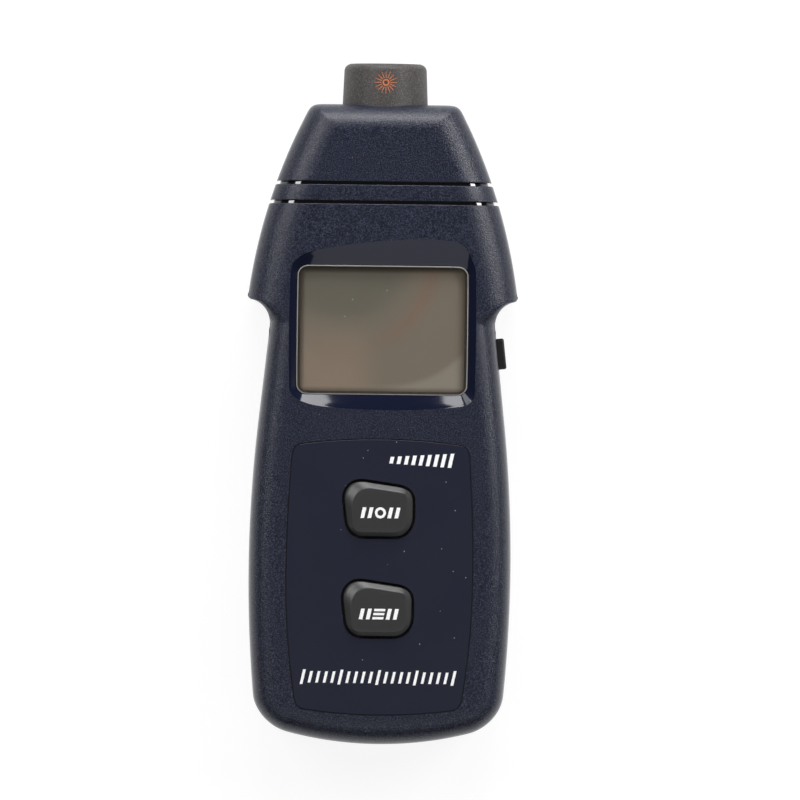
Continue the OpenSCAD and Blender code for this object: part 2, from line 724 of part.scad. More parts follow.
// A key: a cap with a broad bevel, a flange that keeps it in, and a stem onto its switch
module key_cap(i) {
    y = y_key[i];
    z = flange_top(y);
    top = face(y) + key_proud;
    translate([x_key, y, 0]) {
        hull() {
            translate([0, 0, z]) linear_extrude(face(y) + key_proud / 4 - z) key2d(key_shares);
            translate([0, 0, top - key_proud / 4]) linear_extrude(key_proud / 4) key2d(key_top_shares);
        }
        translate([0, 0, z - flange_t]) linear_extrude(flange_t) key2d(key_shares, key_gap + flange_w);
        translate([-x_key, 0, plunger_top]) cylinder(h = z - plunger_top, r = plunger_r + fit);
    }
}
module read_key() color("#3c3c3c") key_cap(0);
module mem_key() color("#3c3c3c") key_cap(1);

module test_button() color("#1c1c1e") at_side_key() {
    translate([side_flange_x, 0, 0])
        rotate([0, 90, 0]) linear_extrude(side_key_proud - side_flange_x) side_key2d(0);
    translate([side_flange_x - side_flange_t, 0, 0])
        rotate([0, 90, 0]) linear_extrude(side_flange_t) side_key2d(flange_w / 2);
}

// A key switch stands on the board; its plunger slides in a round pocket
pocket_clear = 0.08;
plunger_depth = 1.6;
cap_t = 0.4;
module switch_body() difference() {
    union() {
        translate([-switch_w / 2, -switch_w / 2, 0]) cube([switch_w, switch_w, switch_h - cap_t]);
        translate([0, 0, switch_h - cap_t])
            linear_extrude(cap_t) rounded2d(switch_w - 2 * fit, switch_w - 2 * fit, switch_w / 12);
    }
    translate([0, 0, switch_h - plunger_depth - key_travel])
        cylinder(h = plunger_depth + 2 * key_travel, r = plunger_r + pocket_clear);
}
module switch_plunger() translate([0, 0, switch_h - plunger_depth])
    cylinder(h = plunger_depth + key_travel + fit, r = plunger_r);
module on_board(i) translate([0, y_key[i], board_top]) children();
module under_board() at_side_key() translate([side_switch_face, 0, 0]) rotate([0, 90, 0]) children();
module read_switch() color("#26262a") on_board(0) switch_body();
module mem_switch() color("#26262a") on_board(1) switch_body();
module read_plunger() color("#d8d4c8") on_board(0) switch_plunger();
module mem_plunger() color("#d8d4c8") on_board(1) switch_plunger();
side_body_h = 5;
module test_switch() color("#26262a") under_board() difference() {
    translate([-switch_w / 3, -switch_w / 2, -side_body_h])
        cube([switch_w * 2 / 3, switch_w, side_body_h]);
    translate([0, 0, -plunger_depth - key_travel])
        cylinder(h = plunger_depth + 2 * key_travel, r = plunger_r + pocket_clear);
}
module test_plunger() color("#d8d4c8") under_board() translate([0, 0, -plunger_depth])
    cylinder(h = plunger_depth + key_travel + 2 * fit, r = plunger_r);

// The display: glass in a frame that stands on the board, with two contact strips under it
lcd_top = window_foot - fit - frame_lip;
strip_w = 2;
strip_in = 2;
module lcd_glass() color("#7d8578") {
    translate([-lcd_w / 2 + fit, y_window - lcd_l / 2 + fit, lcd_top - lcd_t])
        cube([lcd_w - 2 * fit, lcd_l - 2 * fit, lcd_t / 2]);
    translate([-lcd_w / 2 + fit, y_window - lcd_l / 2 + fit + strip_w, lcd_top - lcd_t / 2])
        cube([lcd_w - 2 * fit, lcd_l - 2 * fit - 2 * strip_w, lcd_t / 2]);
}
module lcd_frame() color("#d0d0cc") translate([0, y_window, 0]) difference() {
    translate([0, 0, board_top])
        linear_extrude(lcd_top + frame_lip - board_top)
            square([lcd_w + 2 * frame_w, lcd_l + 2 * frame_w], center = true);
    translate([0, 0, lcd_top - lcd_t])
        linear_extrude(lcd_t) square([lcd_w, lcd_l], center = true);
    translate([0, 0, board_top - over])
        linear_extrude(face_z)
            square([window_w - 2 * window_ledge, lcd_l - 2 * (strip_in + strip_w + frame_w)],
                center = true);
    for (s = [1, -1])
        translate([0, s * (lcd_l / 2 - strip_in - strip_w / 2), board_top - over])
            linear_extrude(lcd_top - lcd_t - board_top + 2 * over)
                square([lcd_w - 2 * frame_w, strip_w + 2 * fit], center = true);
}
module zebra_strips() color("#c65a4a") for (s = [1, -1])
    translate([0, y_window + s * (lcd_l / 2 - strip_in - strip_w / 2), board_top])
        linear_extrude(lcd_top - lcd_t - board_top)
            square([lcd_w - 2 * frame_w - 2 * fit, strip_w], center = true);

board_corner = 6;
module main_board() color("#1f5c3a") difference() {
    translate([0, 0, board_bot]) linear_extrude(board_t) polygon([
        [-board_w / 2, board_bot_y + board_corner], [-board_w / 2 + board_corner, board_bot_y],
        [board_w / 2 - board_corner, board_bot_y], [board_w / 2, board_bot_y + board_corner],
        [board_w / 2, board_top_y - board_corner], [board_w / 2 - board_corner, board_top_y],
        [-board_w / 2 + board_corner, board_top_y], [-board_w / 2, board_top_y - board_corner]
    ]);
    for (p = board_screw_places)
        translate([p[0], p[1], board_bot - over])
            cylinder(h = board_t + 2 * over, r = board_screw_r + fit);
}

// The parts under the board: a flat chip with its legs, a crystal can and a capacitor
chip_w = 12;
chip_t = 1.5;
chip_legs = 11;
chip_leg_l = 1;
module mcu_chip() color("#202022") translate([0, y_window, board_bot]) {
    translate([0, 0, -chip_t]) linear_extrude(chip_t) rounded2d(chip_w, chip_w, chip_w / 24);
    for (a = [0:90:270]) rotate([0, 0, a])
        for (i = [0:chip_legs - 1])
            translate([(i - (chip_legs - 1) / 2) * chip_w / (chip_legs + 1) - chip_w / 80,
                    chip_w / 2, -chip_t / 4])
                cube([chip_w / 40, chip_leg_l, chip_t / 4]);
}
crystal_l = 11;
crystal_w = 4.6;
crystal_h = 3.6;
module quartz_crystal() color("#c0c0c4")
    translate([chip_w * 1.2, y_window, board_bot - crystal_h])
        linear_extrude(crystal_h) rounded2d(crystal_w, crystal_l, crystal_w / 2 - fit);
cap_r = 3.1;
cap_h = 7;
module filter_capacitor() color("#2c3c6c")
    translate([-chip_w * 1.2, y_window, board_bot - cap_h]) cylinder(h = cap_h, r = cap_r);

// The optics in the head
plate_rim = 0.4;
lens_t = 4;
lens_rim = 1.6;
module aperture_plate() color("#1a1a1c") on_collar_axis(y_plate) difference() {
    cylinder(h = plate_t, r = optic_bore_r - fit / 2);
    translate([lens_x, 0, -over]) cylinder(h = plate_t + 2 * over, r = lens_r - plate_rim);
    translate([laser_x, 0, -over]) cylinder(h = plate_t + 2 * over, r = laser_r / 2);
}
module optics_holder() color("#2a2a2c") on_collar_axis(y_holder) difference() {
    cylinder(h = y_plate - y_holder, r = optic_bore_r - fit / 2);
    translate([lens_x, 0, y_plate - y_holder - lens_t])
        cylinder(h = lens_t + over, r = lens_r + fit / 2);
    translate([lens_x, 0, -over]) cylinder(h = face_z, r = lens_r - over);
    translate([laser_x, 0, -over]) cylinder(h = face_z, r = laser_r + fit / 2);
}
module receiver_lens() color("#cfe0e8", 0.5) translate([lens_x, 0, 0])
    on_collar_axis(y_plate - lens_t) rotate_extrude($fn = 64) {
        dome = lens_t - lens_rim - fit;
        bow = (lens_r * lens_r + dome * dome) / (2 * dome);
        intersection() {
            square([lens_r, lens_t - fit]);
            translate([0, lens_t - fit - bow]) circle(r = bow, $fn = 128);
        }
    }
laser_l = 11;
module laser_module() color("#b08d57") translate([laser_x, 0, 0])
    on_collar_axis(y_plate - laser_l) difference() {
        cylinder(h = laser_l, r = laser_r);
        translate([0, 0, laser_l - over]) cylinder(h = 2 * over, r = laser_r / 2);
    }
shield_r = 4.2;
shield_bore_r = 3.4;
diode_r = 2.5;
diode_foot = 0.4;
module light_shield() color("#18181a") translate([lens_x, 0, 0])
    on_collar_axis(y_sensor + sensor_board_t) difference() {
        cylinder(h = y_holder - y_sensor - sensor_board_t, r = shield_r);
        translate([0, 0, -over]) cylinder(h = y_holder, r = shield_bore_r);
    }
module photodiode() color("#202838") translate([lens_x, 0, 0])
    on_collar_axis(y_sensor + sensor_board_t) rotate_extrude($fn = 48) {
        square([diode_r + diode_foot, over]);
        square([diode_r, diode_r * 2]);
        translate([0, diode_r * 2]) intersection() {
            circle(r = diode_r, $fn = 48);
            square(diode_r);
        }
    }
module sensor_board() color("#1f5c3a")
    translate([-sensor_board_w / 2, y_sensor, wall])
        cube([sensor_board_w, sensor_board_t, sensor_board_h]);

// The cells lie side by side and turn about, each with a spring at its flat end
function cell_up(i) = i % 2 == 0;
nub_r = 2.7;
nub_l = 1.2;
nub_foot_share = 1.3;
cell_edge = 0.6;
module cell(i) translate([cell_x(i), y_bay + bay_l / 2, cell_z])
    rotate([cell_up(i) ? -90 : 90, 0, 0])
        translate([0, 0, bay_l / 2 - contact_t - cell_l]) rotate_extrude($fn = 64) polygon([
            [0, 0], [cell_d / 2 - 2 * cell_edge, 0], [cell_d / 2 - 2 * cell_edge, cell_edge / 2],
            [cell_d / 2 - cell_edge, 0], [cell_d / 2, cell_edge],
            [cell_d / 2, cell_l - nub_l - cell_edge], [cell_d / 2 - cell_edge, cell_l - nub_l],
            [nub_r * nub_foot_share, cell_l - nub_l], [nub_r, cell_l - nub_l + cell_edge / 2],
            [nub_r, cell_l - cell_edge / 3], [nub_r - cell_edge / 3, cell_l], [0, cell_l]
        ]);
module cell_1() color("#b8862e") cell(0);
module cell_2() color("#b8862e") cell(1);
module cell_3() color("#b8862e") cell(2);
module cell_4() color("#b8862e") cell(3);

// Each spring is a wire along a widening spiral, with a flat ring of wire at each end
wire_r = 0.3;
spring_turns = 4.5;
spring_steps = 8;
spring_sides = 5;
spring_base_r = 4.6;
spring_tip_r = 2.6;
module spring() {
    n = spring_turns * spring_steps;
    rings = [for (i = [0:n]) let (t = i / n, a = 360 * i / spring_steps,
            r = spring_base_r + (spring_tip_r - spring_base_r) * t,
            z = wire_r + (spring_l - 2 * wire_r) * t)
        [for (j = [0:spring_sides - 1]) let (b = 360 * j / spring_sides)
            [(r + wire_r * cos(b)) * cos(a), (r + wire_r * cos(b)) * sin(a), z + wire_r * sin(b)]]];
    m = spring_sides;
    polyhedron(points = [for (r = rings) each r], faces = concat(
        [for (k = [0:n - 1]) for (j = [0:m - 1])
            let (a = k * m + j, b = k * m + (j + 1) % m) each [[a, b, a + m], [b, b + m, a + m]]],
        [[for (j = [m - 1:-1:0]) j]], [[for (j = [0:m - 1]) n * m + j]]));
}
module battery_springs() color("#c8c8cc") for (i = [0:cell_count - 1])
    translate([cell_x(i), y_bay + bay_l / 2, cell_z])
        rotate([cell_up(i) ? -90 : 90, 0, 0])
            translate([0, 0, contact_t - bay_l / 2]) spring();

// Plates at the bay's ends join the cells in a row
contact_h = 9;
module plate(from, to, top) {
    x0 = cell_x(from) - contact_h / 2;
    x1 = cell_x(to) + contact_h / 2;
    translate([x0, top ? y_bay + bay_l - contact_t : y_bay, cell_z - contact_h / 2])
        cube([x1 - x0, contact_t, contact_h]);
}
module battery_contacts() color("#c8c8cc") {
    plate(0, 1, false);
    plate(2, 3, false);
    plate(1, 2, true);
    plate(0, 0, true);
    plate(3, 3, true);
}

// A screw stands head down on z = 0, with a cross recess in its head
cross_shares = [0.6, 0.12, 0.6];
point_share = 0.4;
module screw(l, r, head_r, head_t) {
    difference() {
        translate([0, 0, -head_t]) cylinder(h = head_t, r = head_r);
        for (a = [0, 90]) rotate([0, 0, a])
            translate([-head_r * cross_shares[0], -head_r * cross_shares[1], -head_t - over])
                cube([2 * head_r * cross_shares[0], 2 * head_r * cross_shares[1],
                    over + head_t * cross_shares[2]]);
    }
    cylinder(h = l - r, r = r);
    translate([0, 0, l - r]) cylinder(h = r, r1 = r, r2 = r * point_share);
}
module case_screws() color("#9a9a9e") for (p = case_screw_places)
    translate([p[0], p[1], screw_seat]) screw(screw_l, screw_r - fit / 2, screw_head_r, screw_head_t);
module board_screws() color("#9a9a9e") for (p = board_screw_places)
    translate([p[0], p[1], board_bot])
        screw(board_screw_l, board_screw_r - fit / 2, board_head_r, board_head_t);

front_shell();
rear_shell();
battery_door();
optic_collar();
display_window();
front_label();
read_key();
mem_key();
test_button();
read_plunger();
mem_plunger();
test_plunger();
read_switch();
mem_switch();
test_switch();
lcd_glass();
lcd_frame();
zebra_strips();
main_board();
mcu_chip();
quartz_crystal();
filter_capacitor();
sensor_board();
aperture_plate();
optics_holder();
receiver_lens();
laser_module();
photodiode();
light_shield();
cell_1();
cell_2();
cell_3();
cell_4();
battery_springs();
battery_contacts();
case_screws();
board_screws();
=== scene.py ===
"""Looks of a hand-held laser tachometer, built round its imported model.

Lengths here are millimetres, as on the drawing of the case; solid(), loft() and printed() turn
them into metres.
The back lies on z = 0, y runs up to the optic collar, and x runs across.
"""

import bmesh
import bpy
import numpy as np
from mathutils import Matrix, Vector


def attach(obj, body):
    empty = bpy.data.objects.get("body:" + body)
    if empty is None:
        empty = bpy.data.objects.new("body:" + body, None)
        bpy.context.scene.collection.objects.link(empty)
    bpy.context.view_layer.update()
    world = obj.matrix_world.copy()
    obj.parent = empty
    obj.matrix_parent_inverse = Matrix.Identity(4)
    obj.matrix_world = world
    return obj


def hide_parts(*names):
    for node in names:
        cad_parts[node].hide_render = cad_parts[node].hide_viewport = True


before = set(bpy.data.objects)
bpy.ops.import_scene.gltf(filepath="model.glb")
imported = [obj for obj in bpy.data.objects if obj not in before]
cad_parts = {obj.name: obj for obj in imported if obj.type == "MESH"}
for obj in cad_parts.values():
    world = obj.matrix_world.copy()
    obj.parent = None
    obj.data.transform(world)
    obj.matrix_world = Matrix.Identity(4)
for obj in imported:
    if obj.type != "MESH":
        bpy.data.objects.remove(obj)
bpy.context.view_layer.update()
METRE = 0.001

# The case's driving sizes, as its drawing gives them, and finer ones read from the photograph
OVERALL_L, COLLAR_L, LOWER_W, SHOULDER_W = 185, 11.2, 71.2, 73.4
FACE_Z, SPLIT_Z, WALL, FACE_R = 31, 14.4, 2.2, 6000
SHOULDER_DROP, HEAD_SIDE_R, HEAD_ARC_DROP = 52.9, 153, 19
LOWER_SIDE_R, WIDE_FROM_BOTTOM, SIDE_TILT = 370, 47.5, np.radians(6.2)
NOTCH_R, NOTCH_DROP, TIP_R, NOTCH_BITE = 6.7, 6.9, 1.1, 0.08
BOTTOM_R, FILLET_LOW, FILLET_HEAD, FILLET_END, FILLET_BACK = 99, 8.5, 11, 7.5, 3
DRAFT, POWER_LOW, POWER_TOP, EDGE_POWER, EDGE_POWER_FALL = 0.25, 2.15, 11, 2.6, 0.5
JOINT_V, NOTCH_RIM = 0.14, 1.8
GROOVE_DROP, GROOVE_PITCH, GROOVE_W, GROOVE_DEPTH, GROOVE_LIP = 21.6, 5.2, 0.9, 1.0, 0.22
WINDOW_DROP, WINDOW_W, WINDOW_L, WINDOW_ROUND = 61.4, 46.62, 35.2, 2.9
WINDOW_T, WINDOW_SINK, WINDOW_LEDGE, LEDGE_T = 1.2, 1.6, 1.0, 0.9
PANE_LIFT, PANE_PROUD, PANE_INSET, BORDER_W, FILM_DROP, FILM_T = 0.06, 0.14, 0.4, 1.05, 2.2, 0.08
LABEL_GAP, LABEL_MARGIN, LABEL_W, LABEL_T = 11.7, 8, 51, 0.25
KEY_DROP, KEY_PITCH, KEY_W, KEY_L, KEY_PROUD, KEY_GAP = 19, 27, 18.7, 15, 1.7, 0.8
KEY_LIP, KEY_DEPTH, KEY_FLANGE_W, KEY_FLANGE_T = 0.3, 3.0, 1.6, 0.8
SIDE_KEY_DROP, SIDE_KEY_L, SIDE_KEY_H, SIDE_KEY_PROUD = 67.5, 8.4, 5, 2
SIDE_KEY_ROUND, SIDE_KEY_FIT, SIDE_FLANGE_W, SIDE_FLANGE_IN, SIDE_FLANGE_T = 1.0, 0.2, 0.6, 2.6, 0.95
COLLAR_R, COLLAR_TIP_R, BORE_R, COLLAR_SHORT = 11.6, 11.2, 9.65, 0.25
COLLAR_SEAT, COLLAR_FLANGE, COLLAR_FIT, THROAT_R = 6.3, 2.3, 0.1, 8.3
BOARD_TOP = 21.8
BAY_HALF, BAY_L, BAY_TOP, BAY_MARGIN, BAY_WALL, BAY_FLOOR = 29.15, 55.2, 16.95, 13.5, 1.2, 2.15
RAIL_LOW, RAIL_HIGH, RAIL_DEEP, RAIL_STOP, DOOR_GAP, SCREW_BORE_R = 0.45, 1.65, 1, 1.85, 0.15, 2.8

Y_TIP = OVERALL_L / 2
Y_BOT = -Y_TIP
Y_TOP = Y_TIP - COLLAR_L
Y_SHOULDER = Y_TOP - SHOULDER_DROP
Y_WIDE = Y_BOT + WIDE_FROM_BOTTOM
Y_LINE = Y_WIDE + LOWER_SIDE_R * np.sin(SIDE_TILT)
Y_WINDOW = Y_TOP - WINDOW_DROP
Y_LABEL_TOP = Y_WINDOW - WINDOW_L / 2 - LABEL_GAP
Y_LABEL_BOT = Y_BOT + LABEL_MARGIN
Y_KEYS = (Y_LABEL_TOP - KEY_DROP, Y_LABEL_TOP - KEY_DROP - KEY_PITCH)
X_KEY = -KEY_W / 36
Y_SIDE_KEY = Y_TOP - SIDE_KEY_DROP


def smooth(t):
    """A step from 0 to 1 with level ends."""
    c = np.clip(t, 0, 1)
    return c * c * (3 - 2 * c)


def arc_sag(r, s):
    """How far an arc of radius r falls at distance s from its top."""
    return r - np.sqrt(r * r - s * s)


def face(y):
    """Height of the front face, crowned lengthwise."""
    return FACE_Z - arc_sag(FACE_R, y)


def line_x(y):
    """The straight flank that leans in from the lower body to the notch."""
    return LOWER_W / 2 - arc_sag(LOWER_SIDE_R, Y_LINE - Y_WIDE) - (y - Y_LINE) * np.tan(SIDE_TILT)


def lower_x(y):
    """Half width of the lower body: a wide arc that runs into the straight flank."""
    on_arc = np.minimum(y, Y_LINE) - Y_WIDE
    return np.where(y < Y_LINE, LOWER_W / 2 - arc_sag(LOWER_SIDE_R, on_arc), line_x(y))


HEAD_ARC = np.array([SHOULDER_W / 2 + arc_sag(HEAD_SIDE_R, HEAD_ARC_DROP) - HEAD_SIDE_R,
                     Y_SHOULDER - HEAD_ARC_DROP])


def head_x(y):
    """Half width of the head: one arc that narrows towards the collar."""
    return HEAD_ARC[0] + np.sqrt(HEAD_SIDE_R ** 2 - (y - HEAD_ARC[1]) ** 2)


NOTCH_Y = Y_SHOULDER - NOTCH_DROP
NOTCH = np.array([line_x(NOTCH_Y) + (NOTCH_R - NOTCH_BITE) / np.cos(SIDE_TILT), NOTCH_Y])
BLEND_FROM = NOTCH[1] - NOTCH_R * np.sin(np.arccos(1 - NOTCH_BITE / NOTCH_R) - SIDE_TILT / 2)
BLEND_TO = Y_SHOULDER - TIP_R / 2


def blend(y):
    """0 on the lower body, 1 on the head, with no kink at either end."""
    t = np.clip((y - BLEND_FROM) / (BLEND_TO - BLEND_FROM), 0, 1)
    return t ** 3 * (10 - 15 * t + 6 * t ** 2)


def side_x(y):
    """Half width of the whole case, with no notch."""
    low = lower_x(np.minimum(y, BLEND_TO))
    return low + (head_x(y) - low) * blend(y)


def bottom_y(x):
    """The bowed bottom end."""
    return Y_BOT + arc_sag(BOTTOM_R, x)


def groove(y):
    """Depth of the two head grooves at y: a flat floor, upright walls and rolled lips."""
    lip = GROOVE_LIP
    depth = np.zeros_like(y)
    for i in range(2):
        away = np.abs(y - (Y_TOP - GROOVE_DROP - i * GROOVE_PITCH))
        past = np.clip(away - GROOVE_W / 2, 0, lip)
        rolled = arc_sag(lip, lip - past)
        depth = np.where(away < GROOVE_W / 2 - 0.01, GROOVE_DEPTH, np.maximum(depth, rolled))
    return depth


def groove_levels():
    """Levels along y that bring out both grooves: lips, walls and floor."""
    out = GROOVE_W / 2 + GROOVE_LIP * (1 - np.cos(np.radians([0, 20, 40, 60, 75, 90])))
    side = np.concatenate([[0.2], [GROOVE_W / 2 - 0.03], out])
    one = np.sort(np.concatenate([-side, side]))
    middles = [Y_TOP - GROOVE_DROP - i * GROOVE_PITCH for i in (1, 0)]
    return np.concatenate([m + one for m in middles])


def notch_edge(grow, count):
    """The notch from the straight flank up to the tip, and round the tip, in plan.

    The outer edge is an arc round the notch's centre and an arc round the tip's. With grow
    it is one arc of the grown radius, up to the wall of the head.
    """
    reach = HEAD_SIDE_R - TIP_R
    gap = np.linalg.norm(NOTCH - HEAD_ARC)
    along = (gap ** 2 + reach ** 2 - (NOTCH_R + TIP_R) ** 2) / (2 * gap)
    way = (NOTCH - HEAD_ARC) / gap
    tip = HEAD_ARC + way * along + np.array([-way[1], way[0]]) * np.sqrt(reach ** 2 - along ** 2)
    start = np.pi + SIDE_TILT + np.arccos((NOTCH_R - NOTCH_BITE) / NOTCH_R)
    stop = np.arctan2(*(tip - NOTCH)[::-1])
    if grow:
        probe = np.linspace(start, stop, 721)
        at = NOTCH + (NOTCH_R + grow) * np.stack([np.cos(probe), np.sin(probe)], 1)
        inside = at[:, 0] < side_x(at[:, 1]) - grow
        first, last = np.argmax(inside), len(inside) - 1 - np.argmax(inside[::-1])
        a = np.linspace(probe[first], probe[last], count)
        return NOTCH + (NOTCH_R + grow) * np.stack([np.cos(a), np.sin(a)], 1)
    tip_count = count // 5
    a = np.linspace(start, stop, count - tip_count)
    b = np.linspace(stop + np.pi, 2 * np.pi + np.arctan2(*(tip - HEAD_ARC)[::-1]), tip_count + 1)[1:]
    return np.concatenate([NOTCH + NOTCH_R * np.stack([np.cos(a), np.sin(a)], 1),
                           tip + TIP_R * np.stack([np.cos(b), np.sin(b)], 1)])


def half_skin(d, front, wall_rows=7, fillet_rows=26):
    """The right half of one shell's skin, d inside the case, as a grid of points.

    Rows climb the wall from the joint and then go over the edge's fillet, in section a
    superellipse at the front and an ellipse at the back; columns go round from the middle of
    the bottom to the middle of the top. In plan each corner is a superellipse between side and
    end. Returns points (row, column, 3) and the flat between the fillets as a second grid.
    """
    joint_v = JOINT_V if d == 0 else 0
    lift = np.concatenate([[0, 0.03], np.linspace(0.15, 1, wall_rows - 2), np.ones(fillet_rows)])[:, None]
    turn = np.concatenate([np.zeros(wall_rows), np.linspace(0, np.pi / 2, fillet_rows + 1)[1:]])
    q = np.cos(turn)[:, None]
    q[-1] = 0
    bead = np.zeros_like(q)
    bead[0] = joint_v
    taper = DRAFT * lift + bead

    def heights(y, m, cz, deep):
        """Height over the fillet, where m falls from 1 at the wall to 0 at the flat. The
        front's section is a superellipse, fuller on the lower body."""
        power = EDGE_POWER - EDGE_POWER_FALL * blend(y) if front else 2
        rise = np.clip(1 - m ** power, 0, 1) ** (1 / power)
        if front:
            return face(y) - cz + (cz - d - deep) * rise
        return FILLET_BACK - (FILLET_BACK - d - deep) * rise

    def corner(reach, power, top, count=18):
        t = np.linspace(0, np.pi / 2, count + 1)[None, :]
        sx, sy = np.sin(t) ** (2 / power), np.cos(t) ** (2 / power)
        semi = [(c - d - taper) * q for c in reach]
        x = np.full((len(q), count + 1), (SHOULDER_W if top else LOWER_W) / 2 - reach[0])
        if top:
            x -= 14
        for _ in range(24):
            y = (Y_TOP - reach[1] + semi[1] * sy) if top else bottom_y(x) + reach[1] - semi[1] * sy
            x = side_x(y) - reach[0] + semi[0] * sx
        mean = reach[0] * np.sin(t) ** 2 + reach[1] * np.cos(t) ** 2
        return x, y, mean + 0 * x

    def section_m(inset):
        """The back's narrow fillet: its own share at a plan inset."""
        return np.clip(1 - (inset - DRAFT) / FILLET_BACK, 0, 1)

    reach_low, reach_top = (FILLET_LOW, FILLET_END), (FILLET_HEAD, FILLET_END)
    ends = 14
    share = np.linspace(0, 1, ends + 1)[None, :-1]
    cx, cy, cmean = corner(reach_low, POWER_LOW, False)
    bx = cx[:, :1] * share
    by = bottom_y(bx) + reach_low[1] - (reach_low[1] - d - taper) * q
    tx, ty, tmean = corner(reach_top, POWER_TOP, True)
    tx, ty, tmean = tx[:, ::-1], ty[:, ::-1], tmean[:, ::-1]
    ex = tx[:, -1:] * share[:, ::-1]
    ey = Y_TOP - reach_top[1] + (reach_top[1] - d - taper) * q + 0 * ex

    edge = notch_edge(d, 50)
    y_first = bottom_y(LOWER_W / 2) + FILLET_END * 10 / 9
    y_last = Y_TOP - FILLET_END * 11 / 9
    grooved = groove_levels()
    low = np.linspace(y_first, edge[0, 1], 46)[:-1]
    high = np.concatenate([np.linspace(edge[-1, 1], grooved[0] - 0.4, 26)[1:], grooved,
                           np.linspace(grooved[-1] + 0.4, y_last, 14)])

    def sides(y):
        y = y[None, :] + 0 * q
        deep = groove(y) if d == 0 else 0 * y
        reach = FILLET_LOW + (FILLET_HEAD - FILLET_LOW) * blend(y)
        x = side_x(y) - reach + (reach - d - deep - taper) * q
        return x, y, reach, deep

    lx, ly, lreach, ldeep = sides(low)
    hx, hy, hreach, hdeep = sides(high)

    # The notch's columns run from its edge to the flat, and its rim is rolled
    run = np.concatenate([[0], np.cumsum(np.linalg.norm(np.diff(edge, axis=0), axis=1))])
    yi = edge[0, 1] + (edge[-1, 1] - edge[0, 1]) * run / run[-1]
    reach_i = FILLET_LOW + (FILLET_HEAD - FILLET_LOW) * blend(yi)
    xi = side_x(yi) - reach_i
    nx = xi + (edge[:, 0] - xi) * q
    ny = yi + (edge[:, 1] - yi) * q
    nreach = FILLET_LOW + (FILLET_HEAD - FILLET_LOW) * blend(ny)
    if front:
        nm = np.clip((nx - side_x(ny) + nreach) / (nreach - d - DRAFT), 0, 1)
    else:
        nm = section_m(side_x(ny) - d - nx)
    away = np.hypot(nx - edge[:, 0], ny - edge[:, 1])
    rim = (NOTCH_RIM if d == 0 else 0.01) * smooth((1 - nm[:1]) / 0.25) + 1e-6
    drop = arc_sag(rim, np.clip(rim - away, 0, rim))

    x = np.concatenate([bx, cx, lx, nx, hx, tx, ex], 1)
    y = np.concatenate([by, cy, ly, ny, hy, ty, ey], 1)
    deep = np.concatenate([0 * bx, 0 * cx, ldeep, 0 * nx, hdeep, 0 * tx, 0 * ex], 1)
    if front:
        m = np.concatenate([q + 0 * bx, q + 0 * cx, q + 0 * lx, nm, q + 0 * hx, q + 0 * tx, q + 0 * ex], 1)
    else:
        reach = np.concatenate([reach_low[1] + 0 * bx, cmean, lreach, 0 * nx, hreach, tmean,
                                reach_top[1] + 0 * ex], 1)
        m = section_m(reach * (1 - q))
        start = bx.shape[1] + cx.shape[1] + lx.shape[1]
        m[:, start:start + nm.shape[1]] = nm
    z = heights(y, m, FILLET_END, deep)
    start = bx.shape[1] + cx.shape[1] + lx.shape[1]
    z[:, start:start + nx.shape[1]] += -drop if front else drop
    top_of_wall = z[wall_rows - 1]
    z[:wall_rows] = SPLIT_Z + (top_of_wall - SPLIT_Z) * lift[:wall_rows]
    ring = np.stack([x, y, z], -1)

    # The flat: its lowest row is the fillet's edge at the bottom, its highest that at the top
    across = np.linspace(-1, 1, 2 * ends + 1)
    inner = ring[-1, bx.shape[1] + cx.shape[1]:-(ex.shape[1] + tx.shape[1])]
    first = np.stack([cx[-1, 0] * across, bottom_y(cx[-1, 0] * across) + reach_low[1]], -1)
    last = np.stack([tx[-1, -1] * across, np.full_like(across, Y_TOP - reach_top[1])], -1)
    rows = np.stack([inner[:, :1] * across, inner[:, 1:2] + 0 * across], -1)
    plan = np.concatenate([first[None], rows, last[None]])
    level = plan[..., 1]
    deep = groove(level) if d == 0 else 0 * level
    high_z = face(level) - d - deep if front else d + deep
    return ring, np.concatenate([plan, high_z[..., None]], -1)


def whole(ring):
    """A half ring and its mirror image, joined into closed rows."""
    left = ring[:, ::-1] * np.array([-1, 1, 1])
    return np.concatenate([ring, left, ring[:, :1]], 1)


# Points nearer than this are joined
WELD = 2e-3


def solid(name, grids, material, smooth_angle=32):
    """One mesh from several grids of points, welded where they meet, faces outwards."""
    points, quads, start = [], [], 0
    for grid in grids:
        rows, cols = grid.shape[:2]
        index = np.arange(rows * cols).reshape(rows, cols) + start
        quads.append(np.stack([index[:-1, :-1], index[:-1, 1:], index[1:, 1:], index[1:, :-1]], -1)
                     .reshape(-1, 4))
        points.append(grid.reshape(-1, 3))
        start += rows * cols
    mesh = bpy.data.meshes.new(name)
    mesh.from_pydata((np.concatenate(points) * METRE).tolist(), [], np.concatenate(quads).tolist())
    return finish_mesh(name, mesh, material, smooth_angle)


def finish_mesh(name, mesh, material, smooth_angle=32):
    """Welds a mesh, turns its faces outwards, shades it and makes its object."""
    bm = bmesh.new()
    bm.from_mesh(mesh)
    bmesh.ops.remove_doubles(bm, verts=bm.verts, dist=WELD * METRE)
    bmesh.ops.dissolve_degenerate(bm, edges=bm.edges, dist=WELD * METRE / 4)
    bmesh.ops.recalc_face_normals(bm, faces=bm.faces)
    bm.to_mesh(mesh)
    bm.free()
    piece = bpy.data.objects.new(name, mesh)
    bpy.context.scene.collection.objects.link(piece)
    mesh.materials.append(material)
    shade(piece, smooth_angle)
    return piece


